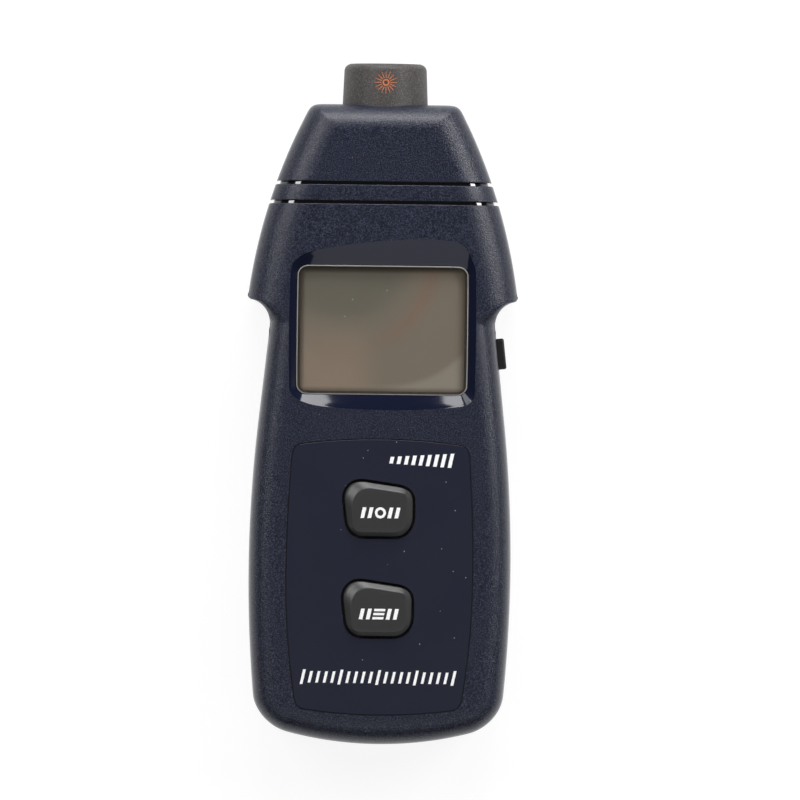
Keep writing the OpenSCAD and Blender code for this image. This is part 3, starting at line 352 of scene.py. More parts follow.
def shade(piece, angle):
    """Smooth shading, with edges sharper than the angle kept crisp, and so where materials meet."""
    mesh = piece.data
    mesh.shade_smooth()
    mesh.set_sharp_from_angle(angle=np.radians(angle))
    sharp = mesh.attributes.get("sharp_edge") or mesh.attributes.new("sharp_edge", "BOOLEAN", "EDGE")
    material = np.zeros(len(mesh.polygons), int)
    count = np.zeros(len(mesh.polygons), int)
    edge = np.zeros(len(mesh.loops), int)
    mesh.polygons.foreach_get("material_index", material)
    mesh.polygons.foreach_get("loop_total", count)
    mesh.loops.foreach_get("edge_index", edge)
    of_loop = np.repeat(material, count)
    low, high = np.full(len(mesh.edges), 99), np.full(len(mesh.edges), -1)
    np.minimum.at(low, edge, of_loop)
    np.maximum.at(high, edge, of_loop)
    kept = np.zeros(len(mesh.edges), bool)
    sharp.data.foreach_get("value", kept)
    sharp.data.foreach_set("value", kept | (low != high))


def loft(name, rings, material, smooth_angle=32):
    """A closed solid through rings of equal count, (ring, point, 3), with a cap at each end."""
    rings = np.asarray(rings, float)
    count, n = rings.shape[:2]
    index = np.arange(count * n).reshape(count, n)
    index = np.concatenate([index, index[:, :1]], 1)
    quads = np.stack([index[:-1, :-1], index[:-1, 1:], index[1:, 1:], index[1:, :-1]], -1)
    faces = quads.reshape(-1, 4).tolist() + [index[0, :-1].tolist(), index[-1, :-1].tolist()]
    mesh = bpy.data.meshes.new(name)
    mesh.from_pydata((rings.reshape(-1, 3) * METRE).tolist(), [], faces)
    return finish_mesh(name, mesh, material, smooth_angle)


def rounded(corners, tangent, steps=8):
    """A closed outline through corner points, each rounded by a parabola that leaves its two
    edges at the tangent length, or at 0.48 of a shorter edge. Returns (point, 2)."""
    p = np.asarray(corners, float)
    before, after = np.roll(p, 1, 0), np.roll(p, -1, 0)
    tangent = np.broadcast_to(tangent, len(p))
    to_before, to_after = before - p, after - p
    lb, la = np.linalg.norm(to_before, axis=1), np.linalg.norm(to_after, axis=1)
    a = p + to_before * (np.minimum(tangent, 0.48 * lb) / lb)[:, None]
    b = p + to_after * (np.minimum(tangent, 0.48 * la) / la)[:, None]
    t = np.linspace(0, 1, steps)[None, :, None]
    return ((1 - t) ** 2 * a[:, None] + 2 * t * (1 - t) * p[:, None] + t ** 2 * b[:, None]).reshape(-1, 2)


def grown(outline, by):
    """An outline moved outwards along its own normals."""
    side = np.roll(outline, -1, 0) - np.roll(outline, 1, 0)
    normal = np.stack([side[:, 1], -side[:, 0]], 1)
    normal /= np.maximum(np.linalg.norm(normal, axis=1, keepdims=True), 1e-9)
    area = np.sum(outline[:, 0] * np.roll(outline[:, 1], -1) - np.roll(outline[:, 0], -1) * outline[:, 1])
    return outline + normal * by * np.sign(area)


def at_height(outline, z):
    """A plan outline lifted to a height, which may differ from point to point."""
    return np.column_stack([outline, np.broadcast_to(z, len(outline))])


def cut(piece, other, operation="DIFFERENCE"):
    """Subtracts another solid from the piece for good, or adds it with UNION."""
    step = piece.modifiers.new("cut", "BOOLEAN")
    step.operation, step.object, step.solver = operation, other, "MANIFOLD"
    step.material_mode = "TRANSFER"
    apply_modifiers(piece)
    bpy.data.objects.remove(other)


def box(name, low, high, material):
    """A rectangular block between two corners."""
    plan = np.array([[low[0], low[1]], [high[0], low[1]], [high[0], high[1]], [low[0], high[1]]])
    return loft(name, [at_height(plan, low[2]), at_height(plan, high[2])], material)


def apply_modifiers(piece):
    """Bakes the piece's modifiers into its mesh."""
    graph = bpy.context.evaluated_depsgraph_get()
    graph.update()
    done = bpy.data.meshes.new_from_object(piece.evaluated_get(graph), preserve_all_data_layers=True,
                                           depsgraph=graph)
    piece.modifiers.clear()
    old = piece.data
    piece.data = done
    bpy.data.meshes.remove(old)


# Materials


def maths(nodes, link, operation, *values):
    """A math node fed with sockets or numbers; returns its result."""
    made = nodes.new("ShaderNodeMath")
    made.operation = operation
    for place, value in enumerate(values):
        if isinstance(value, (int, float)):
            made.inputs[place].default_value = value
        else:
            link(value, made.inputs[place])
    return made.outputs[0]


def ramp(nodes, link, value, low, high, to_low=0.0, to_high=1.0):
    """The value taken smoothly from one range to another."""
    made = nodes.new("ShaderNodeMapRange")
    made.interpolation_type = "SMOOTHSTEP"
    for place, number in zip((1, 2, 3, 4), (low, high, to_low, to_high)):
        made.inputs[place].default_value = number
    link(value, made.inputs[0])
    return made.outputs[0]


def tinted(nodes, link, colour, other, factor):
    """A colour mixed towards another by a factor socket."""
    made = nodes.new("ShaderNodeMix")
    made.data_type = "RGBA"
    made.inputs[7].default_value = (*other, 1)
    link(factor, made.inputs[0])
    link(colour, made.inputs[6])
    return made.outputs[2]


def group(name, inputs, outputs):
    """A shader node group with its named sockets, and its input and output nodes."""
    tree = bpy.data.node_groups.new(name, "ShaderNodeTree")
    for label, kind, value in inputs:
        socket = tree.interface.new_socket(label, in_out="INPUT", socket_type=kind)
        socket.default_value = value
    for label, kind in outputs:
        tree.interface.new_socket(label, in_out="OUTPUT", socket_type=kind)
    return tree, tree.nodes.new("NodeGroupInput"), tree.nodes.new("NodeGroupOutput")


def moulded_grain():
    """Spark-eroded plastic: its height, and a mask of its high points, where lighter colour is painted as
    tiny glints.
    """
    tree, given, out = group(
        "moulded_grain",
        [("Vector", "NodeSocketVector", (0, 0, 0)), ("Scale", "NodeSocketFloat", 2600)],
        [("Height", "NodeSocketFloat"), ("Painted glints", "NodeSocketFloat")])
    link = tree.links.new
    pits = tree.nodes.new("ShaderNodeTexNoise")
    pits.inputs["Detail"].default_value = 2
    pits.inputs["Roughness"].default_value = 0.6
    link(given.outputs["Vector"], pits.inputs["Vector"])
    link(given.outputs["Scale"], pits.inputs["Scale"])
    glint_mask = tree.nodes.new("ShaderNodeMapRange")
    glint_mask.inputs["From Min"].default_value = 0.46
    glint_mask.inputs["From Max"].default_value = 0.66
    link(pits.outputs["Fac"], glint_mask.inputs["Value"])
    link(pits.outputs["Fac"], out.inputs["Height"])
    link(glint_mask.outputs["Result"], out.inputs["Painted glints"])
    return tree


def mottle():
    """Slow changes of shade over a surface, and a sparse scatter of tiny dust."""
    tree, given, out = group(
        "mottle",
        [("Vector", "NodeSocketVector", (0, 0, 0)), ("Scale", "NodeSocketFloat", 60),
         ("Dust", "NodeSocketFloat", 0.03)],
        [("Shade", "NodeSocketFloat"), ("Dust", "NodeSocketFloat")])
    link = tree.links.new
    slow = tree.nodes.new("ShaderNodeTexNoise")
    slow.inputs["Detail"].default_value = 3
    link(given.outputs["Vector"], slow.inputs["Vector"])
    link(given.outputs["Scale"], slow.inputs["Scale"])
    link(slow.outputs["Fac"], out.inputs["Shade"])
    cells = tree.nodes.new("ShaderNodeTexVoronoi")
    cells.inputs["Scale"].default_value = 300
    link(given.outputs["Vector"], cells.inputs["Vector"])
    dots = maths(tree.nodes, link, "LESS_THAN", cells.outputs["Distance"], given.outputs["Dust"])
    link(dots, out.inputs["Dust"])
    return tree


GRAIN, MOTTLE = moulded_grain(), mottle()
SHARED = {}
DUST_COLOUR = (0.45, 0.45, 0.47)


def finish(name, colour, rough, grain=None, bump=0.0, painted_glints=None, shade=None, dust=0.0, metal=0.0,
           ior=1.5, glass=0.0, specular=0.5, alpha=1.0):
    """A material whose colour drifts from colour to shade, with moulded grain of the given
    scale, bump depth in millimetres, lighter colour painted as glints on the grain's high points, and a
    little dust."""
    if name in SHARED:
        return SHARED[name]
    made = bpy.data.materials.new(name)
    made.use_nodes = True
    nodes, link = made.node_tree.nodes, made.node_tree.links.new
    shader = nodes["Principled BSDF"]
    shader.inputs["Metallic"].default_value = metal
    shader.inputs["IOR"].default_value = ior
    shader.inputs["Transmission Weight"].default_value = glass
    shader.inputs["Specular IOR Level"].default_value = specular
    shader.inputs["Alpha"].default_value = alpha
    where = nodes.new("ShaderNodeTexCoord")
    drift = nodes.new("ShaderNodeGroup")
    drift.node_tree = MOTTLE
    drift.inputs["Dust"].default_value = dust
    link(where.outputs["Object"], drift.inputs["Vector"])
    mix = nodes.new("ShaderNodeMix")
    mix.data_type = "RGBA"
    mix.inputs[6].default_value = (*colour, 1)
    mix.inputs[7].default_value = (*(shade or [c * 0.8 for c in colour]), 1)
    link(drift.outputs["Shade"], mix.inputs["Factor"])
    colour_out = mix.outputs[2]
    rough_range = nodes.new("ShaderNodeMapRange")
    rough_range.inputs["To Min"].default_value = rough * 0.92
    rough_range.inputs["To Max"].default_value = rough * 1.08
    link(drift.outputs["Shade"], rough_range.inputs["Value"])
    link(rough_range.outputs["Result"], shader.inputs["Roughness"])
    if grain:
        fine = nodes.new("ShaderNodeGroup")
        fine.node_tree = GRAIN
        fine.inputs["Scale"].default_value = grain
        link(where.outputs["Object"], fine.inputs["Vector"])
        relief = nodes.new("ShaderNodeBump")
        relief.inputs["Strength"].default_value = 1
        relief.inputs["Distance"].default_value = bump * METRE
        link(fine.outputs["Height"], relief.inputs["Height"])
        link(relief.outputs["Normal"], shader.inputs["Normal"])
        # Lighter colour on the grain's high points: painted glints
        if painted_glints:
            colour_out = tinted(nodes, link, colour_out, painted_glints, fine.outputs["Painted glints"])
    if dust:
        colour_out = tinted(nodes, link, colour_out, DUST_COLOUR, drift.outputs["Dust"])
    link(colour_out, shader.inputs["Base Color"])
    SHARED[name] = made
    return made


# The case's grain gets painted glints: lighter colour on its high points
CASE = finish("case_grained", (0.002, 0.004, 0.014), 0.30, grain=3100, bump=0.10,
              painted_glints=(0.044, 0.050, 0.084), shade=(0.0015, 0.003, 0.012), dust=0.02)
POLISHED = finish("case_polished", (0.006, 0.008, 0.024), 0.08, shade=(0.005, 0.007, 0.02))
GROOVED = finish("case_groove", (0.002, 0.002, 0.004), 0.06, specular=1.0)
LABEL = finish("label_satin", (0.014, 0.016, 0.031), 0.26, grain=3500, bump=0.003,
               shade=(0.017, 0.019, 0.034), dust=0.035)
BED = finish("label_bed", (0.004, 0.004, 0.006), 0.7)
# A dark brown ring under the window's border: the ledge seen through the tinted pane, with painted shade
# of the gap beside it
LEDGE_AND_SHADE = finish("window_rim_shade", (0.040, 0.032, 0.025), 0.5)
# A light grey ring along the window's edge: a painted highlight
EDGE = finish("window_edge_highlight", (0.30, 0.29, 0.27), 0.4)
# The collar's grain gets painted glints: lighter colour on its high points
COLLAR = finish("collar_matt", (0.032, 0.029, 0.028), 0.5, grain=2600, bump=0.10,
                painted_glints=(0.095, 0.085, 0.080), shade=(0.038, 0.034, 0.033))
KEY = finish("key_matt", (0.032, 0.032, 0.033), 0.34, grain=3200, bump=0.01, shade=(0.036, 0.036, 0.037))
BLACK = finish("black_satin", (0.008, 0.008, 0.009), 0.42, grain=3200, bump=0.02)
INK = finish("ink_white", (0.97, 0.97, 0.97), 0.5, shade=(0.93, 0.93, 0.93))
ORANGE = finish("ink_orange", (0.60, 0.19, 0.07), 0.55, shade=(0.42, 0.14, 0.06))

# Where the display's painted reflections lie, in millimetres
REFLECTION_ARC_CENTRE, REFLECTION_ARC_R = (-10.6, 39.1), 24.2
PALE_REFLECTION_CENTRE, PALE_REFLECTION_R = (1.6, 32.3), 26.4


def display_finish():
    """The display's grey olive film with painted reflections: a warm arc from the upper right, a warm
    lower left and a paler field below a wide circle; darker towards the border."""
    made = finish("display_olive", (0.162, 0.150, 0.120), 0.45, shade=(0.146, 0.137, 0.109), dust=0.055)
    nodes, link = made.node_tree.nodes, made.node_tree.links.new
    shader = nodes["Principled BSDF"]
    colour = shader.inputs["Base Color"].links[0].from_socket
    where = nodes.new("ShaderNodeTexCoord").outputs["Object"]
    split = nodes.new("ShaderNodeSeparateXYZ")
    link(where, split.inputs[0])
    x = maths(nodes, link, "MULTIPLY", split.outputs[0], 1 / METRE)
    y = maths(nodes, link, "MULTIPLY", split.outputs[1], 1 / METRE)

    def from_centre(cx, cy):
        dx, dy = maths(nodes, link, "SUBTRACT", x, cx), maths(nodes, link, "SUBTRACT", y, cy)
        dx, dy = maths(nodes, link, "MULTIPLY", dx, dx), maths(nodes, link, "MULTIPLY", dy, dy)
        return maths(nodes, link, "SQRT", maths(nodes, link, "ADD", dx, dy))

    upper, wide = from_centre(*REFLECTION_ARC_CENTRE), from_centre(*PALE_REFLECTION_CENTRE)
    # Painted reflection: a warm arc from the upper right
    warm_reflection = ramp(nodes, link, upper, 12, 28)
    colour = tinted(nodes, link, colour, (0.226, 0.190, 0.148), warm_reflection)
    # Painted reflection: warmer towards the lower left
    low_left = maths(nodes, link, "MULTIPLY", ramp(nodes, link, y, 26, 6), ramp(nodes, link, x, 2, -10))
    colour = tinted(nodes, link, colour, (0.300, 0.228, 0.168), low_left)
    # Painted reflection: a warmer ring along the arc
    away = maths(nodes, link, "ABSOLUTE", maths(nodes, link, "SUBTRACT", upper, REFLECTION_ARC_R))
    reflection_band = maths(nodes, link, "MULTIPLY", ramp(nodes, link, away, 4.0, 0), ramp(nodes, link, x, -9, 9))
    colour = tinted(nodes, link, colour, (0.245, 0.155, 0.112), maths(nodes, link, "MULTIPLY", reflection_band, 0.6))
    # Painted reflection: a paler field below the wide circle
    pale_reflection = ramp(nodes, link, wide, PALE_REFLECTION_R, PALE_REFLECTION_R + 2.2)
    pale_reflection = maths(nodes, link, "MULTIPLY", pale_reflection, ramp(nodes, link, y, 20, 12))
    pale_reflection = maths(nodes, link, "MULTIPLY", pale_reflection, ramp(nodes, link, x, -6, 10, 0.12, 0.8))
    colour = tinted(nodes, link, colour, (0.330, 0.295, 0.240), pale_reflection)
    across = maths(nodes, link, "SUBTRACT", WINDOW_W / 2 - 1.0, maths(nodes, link, "ABSOLUTE", x))
    along = maths(nodes, link, "SUBTRACT", WINDOW_L / 2 - 1.0,
                  maths(nodes, link, "ABSOLUTE", maths(nodes, link, "SUBTRACT", y, float(Y_WINDOW))))
    border = ramp(nodes, link, maths(nodes, link, "MINIMUM", across, along), 0.0, 1.5, 0.6, 0.0)
    colour = tinted(nodes, link, colour, (0.050, 0.040, 0.030), border)
    link(colour, shader.inputs["Base Color"])
    return made


# The dressed pieces of the case


def window_outline(grow=0.0):
    """The window's outline, with as many corner points as the recess round it."""
    hw, hl, r = WINDOW_W / 2, WINDOW_L / 2, WINDOW_ROUND
    a = np.radians([0, 22.5, 45, 67.5, 90])
    right = np.concatenate([
        [[hw / 4, -hl], [hw * 0.6, -hl]],
        np.stack([hw - r + r * np.sin(a), -hl + r - r * np.cos(a)], 1),
        np.stack([hw - r + r * np.cos(a), hl - r + r * np.sin(a)], 1),
        [[hw * 0.6, hl], [hw / 4, hl]]])
    both = np.concatenate([right, right[::-1] * [-1, 1]])
    return grown(rounded(both, 50), grow) + [0, Y_WINDOW]


RECESS_RIGHT_SHARES = np.array([
    [0.25, -1.23], [0.60, -1.207], [0.877, -1.172], [0.956, -1.157], [1.035, -1.099],
    [1.07, -1.044], [1.088, -0.968], [1.088, 0.86], [1.066, 1.003], [1.0, 1.204],
    [0.938, 1.315], [0.859, 1.37], [0.60, 1.411], [0.25, 1.4]])
RECESS_LEFT_SHARES = np.array([
    [0.25, -1.224], [0.564, -1.198], [0.775, -1.169], [0.925, -1.111], [1.009, -1.052],
    [1.057, -0.988], [1.084, -0.845], [1.084, 0.8], [1.06, 0.98], [1.042, 1.035],
    [0.938, 1.157], [0.815, 1.207], [0.60, 1.277], [0.25, 1.347]])


def recess_outline(grow=0.0):
    """The recess round the window: a bowed foot, straight sides and a lopsided arch."""
    half = np.array([WINDOW_W, WINDOW_L]) / 2
    both = np.concatenate([RECESS_RIGHT_SHARES, RECESS_LEFT_SHARES[::-1] * [-1, 1]]) * half
    return grown(rounded(both, 50), grow) + [0, Y_WINDOW]


LENS_Z = face(Y_WINDOW) - WINDOW_SINK


def recess_cutter():
    """The opening in the face for the window's bezel."""
    rim = recess_outline()
    return loft("recess_cutter", [at_height(rim, LENS_Z - 3), at_height(rim, face(rim[:, 1]) + 2)], CASE)


def bezel():
    """The polished bevels that fall from the face to the window, with the seat under them."""
    seat, rim = window_outline(), recess_outline(-0.01)
    foot = LENS_Z - WINDOW_T
    rings = []
    for t in (0.0, 0.15, 0.3, 0.45, 0.6, 0.75, 0.88, 0.97, 1.0):
        ring = seat + (rim - seat) * t
        sag = 0.03 * smooth((t - 0.6) / 0.4) ** 2
        rings.append(at_height(ring, LENS_Z + (face(ring[:, 1]) - LENS_Z) * t - sag))
    ledge = window_outline(-WINDOW_LEDGE)
    rings += [at_height(rim, foot - LEDGE_T), at_height(ledge, foot - LEDGE_T), at_height(ledge, foot),
              at_height(seat, foot)]
    piece = solid("window_bezel", [hoop(rings)], POLISHED, smooth_angle=50)
    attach(piece, "case")


KEY_SHARES = np.array([[-1, 0.49], [-0.84, 0.84], [-0.57, 1], [0.77, 0.76], [1, 0.50],
                       [1, -0.56], [0.70, -1], [-0.6, -1], [-0.88, -0.67]])
KEY_TOP_SHARES = np.array([[-0.78, 0.24], [-0.62, 0.62], [-0.33, 0.77], [0.76, 0.58], [0.86, 0.45],
                           [0.86, -0.56], [0.64, -0.85], [-0.62, -0.85], [-0.74, -0.64]])
KEY_DISH = 0.06
KEY_TANGENTS = np.array([2.2, 1.6, 2.2, 2.2, 2.2, 2.4, 2.4, 2.0, 2.0])


def key_outline(shares, grow=0.0):
    """A key's outline: a rounded wedge with a broad upper left shoulder."""
    return grown(rounded(shares[::-1] * [KEY_W / 2, KEY_L / 2], KEY_TANGENTS[::-1], 10), grow)


def key_hole(y):
    """The opening for a key, with a rolled lip."""
    at = [X_KEY, y]
    outline = key_outline(KEY_SHARES, KEY_GAP - 0.15) + at
    rings = [at_height(outline, BOARD_TOP)]
    for a in np.radians([0, 22, 45, 68, 82]):
        ring = grown(outline, KEY_LIP * (1 - np.cos(a)))
        rings.append(at_height(ring, face(ring[:, 1]) - KEY_LIP + KEY_LIP * np.sin(a)))
    ring = grown(outline, KEY_LIP)
    rings.append(at_height(ring, face(ring[:, 1]) + 1))
    return loft("key_hole", rings, CASE)


def label_outline(grow=0.0):
    """The label: ends that bow outwards, sides that swell, and round corners."""
    end, foot, bow = 0.94, 0.88, 1.8
    t = np.linspace(0, 1, 11)
    share = np.where(t < 0.5, 1 - (1 - foot) * (1 - 2 * t) ** 2, 1 - (1 - end) * (2 * t - 1) ** 2)
    mid, half = (Y_LABEL_TOP + Y_LABEL_BOT) / 2, (Y_LABEL_TOP - Y_LABEL_BOT) / 2
    right = np.stack([LABEL_W / 2 * share, mid + (half - bow) * (2 * t - 1)], 1)
    s = 1 - 2 * t[1:-1]
    top = np.stack([LABEL_W / 2 * end * s, Y_LABEL_TOP - bow * s * s], 1)
    low = np.stack([-LABEL_W / 2 * foot * s, Y_LABEL_BOT + bow * s * s], 1)
    both = np.concatenate([right, top, right[::-1] * [-1, 1], low])
    return grown(rounded(both, 3.2), grow)


def label_recess():
    """The shallow bed of the label, with upright walls."""
    outline = label_outline()
    return loft("label_recess", [at_height(outline, face(outline[:, 1]) - LABEL_T - 0.05),
                                 at_height(outline, face(outline[:, 1]) - 0.06),
                                 at_height(grown(outline, 0.08), face(outline[:, 1]) + 1)], BED)


def collar_hole(n=160):
    """A cylinder along y that opens the shells' joint for the collar."""
    a = np.linspace(0, 2 * np.pi, n, endpoint=False)
    radius = COLLAR_R + COLLAR_FIT
    rings = [np.stack([radius * np.cos(a), np.full(n, y), SPLIT_Z + radius * np.sin(a)], 1)
             for y in (Y_TOP - COLLAR_SEAT, Y_TIP)]
    return loft("collar_hole", rings, CASE)


def screw_hole(x, y, n=48):
    """An upright cylinder that opens the back for a screw."""
    a = np.linspace(0, 2 * np.pi, n, endpoint=False)
    plan = np.stack([x + SCREW_BORE_R * np.cos(a), y + SCREW_BORE_R * np.sin(a)], 1)
    return loft("screw_hole", [at_height(plan, -1), at_height(plan, 5)], CASE)


Y_HEAD_SCREW, Y_LOW_SCREW = Y_TOP - 19.2, Y_BOT + BAY_MARGIN - BAY_WALL - 2.816
SCREW_PLACES = [(20, Y_HEAD_SCREW), (-20, Y_HEAD_SCREW), (18, Y_LOW_SCREW), (-18, Y_LOW_SCREW)]
SIDE_KEY_Z = BOARD_TOP - 1.6 - 2


def side_key_ring(grow, out):
    """A rounded rectangle across the side key's axis, out millimetres from the flank."""
    hl, hh = SIDE_KEY_L / 2, SIDE_KEY_H / 2
    corners = np.array([[-hl, -hh], [hl, -hh], [hl, hh], [-hl, hh]])
    flat = grown(rounded(corners, SIDE_KEY_ROUND), grow)
    along = np.array([-np.sin(SIDE_TILT), np.cos(SIDE_TILT)])
    away = np.array([np.cos(SIDE_TILT), np.sin(SIDE_TILT)])
    base = np.array([line_x(Y_SIDE_KEY), Y_SIDE_KEY])
    plan = base + away * out + flat[:, :1] * along
    return np.column_stack([plan, SIDE_KEY_Z + flat[:, 1]])


def shell(name, front):
    """One shell: an outer skin, an inner one a wall inside it, and the rim between them. The
    head grooves get a finish of their own."""
    outer, outer_flat = half_skin(0, front)
    inner, inner_flat = half_skin(WALL, front)
    outer, inner = whole(outer), whole(inner)
    piece = solid(name, [outer, outer_flat, inner, inner_flat, np.stack([outer[0], inner[0]])], CASE)
    mesh = piece.data
    mesh.materials.append(GROOVED)
    centre = np.zeros(3 * len(mesh.polygons))
    mesh.polygons.foreach_get("center", centre)
    in_groove = groove(centre[1::3] / METRE) > 0.3
    mesh.polygons.foreach_set("material_index", in_groove.astype(np.int32))
    return piece


def front_shell():
    """The front shell with the openings for the window, label, keys and collar."""
    piece = shell("front_case", True)
    cut(piece, recess_cutter())
    cut(piece, label_recess())
    for y in Y_KEYS:
        cut(piece, key_hole(y))
    cut(piece, collar_hole())
    rings = [side_key_ring(SIDE_KEY_FIT, out) for out in (-2 * WALL, WALL)]
    cut(piece, loft("side_key_hole", rings, CASE))
    shade(piece, 30)
    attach(piece, "case")
    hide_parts("front_shell")


def rear_shell():
    """The rear shell with its battery bay, the door's opening, rail grooves and screw holes."""
    piece = shell("rear_case", False)
    y_bay = Y_BOT + BAY_MARGIN
    door_y = y_bay + BAY_L + BAY_WALL / 2
    out = BAY_HALF + BAY_WALL
    low, high = (-out, y_bay - BAY_WALL, 1), (out, y_bay + BAY_L + BAY_WALL, BAY_TOP + BAY_WALL)
    cut(piece, box("bay_block", low, high, CASE), "UNION")
    cut(piece, box("bay_hollow", (-BAY_HALF, y_bay, -1), (BAY_HALF, y_bay + BAY_L, BAY_TOP), CASE))
    high = (BAY_HALF, door_y + DOOR_GAP, BAY_FLOOR)
    cut(piece, box("door_opening", (-BAY_HALF, Y_BOT - 1, -1), high, CASE))
    rail_x = BAY_HALF + RAIL_DEEP
    low, high = (-rail_x, Y_BOT - 1, RAIL_LOW), (rail_x, door_y - RAIL_STOP, RAIL_HIGH)
    cut(piece, box("rail_grooves", low, high, CASE))
    for x, y in SCREW_PLACES:
        cut(piece, screw_hole(x, y))
    cut(piece, collar_hole())
    shade(piece, 30)
    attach(piece, "case")
    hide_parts("rear_shell")


def window():
    """The clear window; a dark brown ring under its border for the ledge seen through the pane and
    painted shade in the gap beside it; a light ring along its edge as a painted highlight; and the display
    film.
    """
    low, high = LENS_Z - WINDOW_T + PANE_LIFT, LENS_Z + PANE_PROUD
    clear = finish("window_clear", (0.10, 0.085, 0.06), 0.05, shade=(0.09, 0.075, 0.055), alpha=0.12)
    inset = window_outline(-PANE_INSET)
    pane = loft("window_pane", [at_height(inset, low), at_height(inset, high)], clear, 20)
    # A painted highlight: a light grey ring along the pane's edge
    outer, inner = window_outline(-0.1), window_outline(-0.38)
    ring = [at_height(outer, LENS_Z - 0.3), at_height(outer, high - 0.08),
            at_height(window_outline(-0.18), high), at_height(inner, high + 0.01),
            at_height(inner, LENS_Z - 0.3)]
    # A dark brown ring for the ledge seen through the pane, with painted shade of the gap beside it
    foot = LENS_Z - WINDOW_T
    outer, inner = window_outline(-0.12), window_outline(-BORDER_W)
    border = [at_height(outer, foot), at_height(outer, low), at_height(inner, low), at_height(inner, foot)]
    edge = solid("window_edge_highlight", [hoop(ring)], EDGE)
    rim = solid("window_rim_shade", [hoop(border)], LEDGE_AND_SHADE)
    film = window_outline(-0.3)
    rings = [at_height(film, LENS_Z - FILM_DROP), at_height(film, LENS_Z - FILM_DROP + FILM_T)]
    film = loft("display_film", rings, display_finish(), 20)
    for piece in (pane, edge, rim, film):
        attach(piece, "case")
        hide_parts("display_window")


def hoop(rings):
    """Closed outlines joined in turn, and the last to the first, as one closed grid."""
    grid = np.asarray(rings + rings[:1])
    return np.concatenate([grid, grid[:, :1]], 1)


def label():
    """The label panel, crowned with the face, with openings for the keys."""
    outline = label_outline(-0.3)
    rings = [at_height(outline, face(outline[:, 1]) - LABEL_T - 0.02),
             at_height(outline, face(outline[:, 1]) - 0.10),
             at_height(grown(outline, -0.06), face(outline[:, 1]) - 0.05)]
    piece = loft("label_panel", rings, LABEL)
    for y in Y_KEYS:
        cut(piece, key_hole(y))
    shade(piece, 20)
    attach(piece, "case")
    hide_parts("front_label")


def bars(places):
    """Slanted bars in plan, (x, y, width, height, slant) each, as (bar, corner, 2)."""
    x, y, w, h, slant = np.asarray(places, float).T[:, :, None]
    sx, sy = np.array([-0.5, 0.5, 0.5, -0.5]), np.array([-0.5, -0.5, 0.5, 0.5])
    return np.stack([x + w * sx + h * sy * slant, y + h * sy], -1)


def annulus(cx, cy, inner, outer, n=48):
    """A flat ring in plan as a chain of quads, (quad, corner, 2)."""
    a = np.linspace(0, 2 * np.pi, n + 1)
    way = np.stack([np.cos(a), np.sin(a)], 1)
    low, high = [cx, cy] + way * inner, [cx, cy] + way * outer
    return np.stack([low[:-1], high[:-1], high[1:], low[1:]], 1)


def printed(name, quads, lay, material, body, replaced):
    """Ink: flat quads laid on a surface, where lay takes plan points (n, 2) to space (n, 3)."""
    points = lay(quads.reshape(-1, 2))
    mesh = bpy.data.meshes.new(name)
    mesh.from_pydata((points * METRE).tolist(), [], np.arange(len(points)).reshape(-1, 4).tolist())
    piece = finish_mesh(name, mesh, material)
    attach(piece, body)
    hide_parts(replaced)


SLANT = 0.22
SCALE_AT, SCALE_PITCH, SCALE_TICKS = (-20.4, -74.1), 2.04, 21
RISING_AT, RISING_PITCH, RISING_BARS = (3.0, -15.2), 2.0, 9
SUN_AT, SUN_RAYS = (0.15, 87.1), 16


def marks():
    """Plain marks in place of print: a scale and rising bars on the label, a ring and a stack
    of bars on the keys, and an even ring of rays on the collar."""
    def on_label(p):
        return at_height(p, face(p[:, 1]) - 0.035)

    scale = [(SCALE_AT[0] + SCALE_PITCH * i, SCALE_AT[1], 0.75, 4.0 if i % 5 == 0 else 3.1, SLANT)
             for i in range(SCALE_TICKS)]
    rising = [(RISING_AT[0] + RISING_PITCH * i, RISING_AT[1], 1.0, 1.8 + 0.25 * i, SLANT)
              for i in range(RISING_BARS)]
    printed("label_marks", bars(scale + rising), on_label, INK, "case", "front_label")

    def on_key(y):
        return lambda p: at_height(p, face(y) + KEY_PROUD - KEY_DISH - 0.01)

    sides = [(s * d, 0, 1.0, 2.9, SLANT) for s in (-1, 1) for d in (2.7, 4.6)]
    ring = np.concatenate([bars(sides), annulus(0, 0, 0.8, 1.5)]) + [X_KEY + 0.6, Y_KEYS[0] - 1.1]
    printed("upper_key_mark", ring, on_key(Y_KEYS[0]), INK, "upper_key", "read_key")
    stack = bars(sides + [(SLANT * d, d, 3.0, 0.65, SLANT) for d in (-1.1, 0, 1.1)])
    stack = stack + [X_KEY + 0.5, Y_KEYS[1] - 1.5]
    printed("lower_key_mark", stack, on_key(Y_KEYS[1]), INK, "lower_key", "mem_key")

    a = np.radians(np.arange(0, 360, 360 / SUN_RAYS))[:, None, None]
    ray = np.array([[1.25, -0.13], [3.1, -0.06], [3.1, 0.06], [1.25, 0.13]])[None]
    rays = np.concatenate([ray[..., :1] * np.cos(a) - ray[..., 1:] * np.sin(a),
                           ray[..., :1] * np.sin(a) + ray[..., 1:] * np.cos(a)], -1)
    sun = np.concatenate([rays, annulus(0, 0, 0.55, 0.95, 24)]) + SUN_AT

    def on_collar(p):
        along = np.clip((p[:, 1] - Y_TOP) / COLLAR_L, 0, 1)
        radius = COLLAR_R + (COLLAR_TIP_R - COLLAR_R) * along + 0.03
        turn = p[:, 0] / radius
        return np.stack([radius * np.sin(turn), p[:, 1], SPLIT_Z + radius * np.cos(turn)], 1)

    printed("collar_mark", sun, on_collar, ORANGE, "case", "optic_collar")


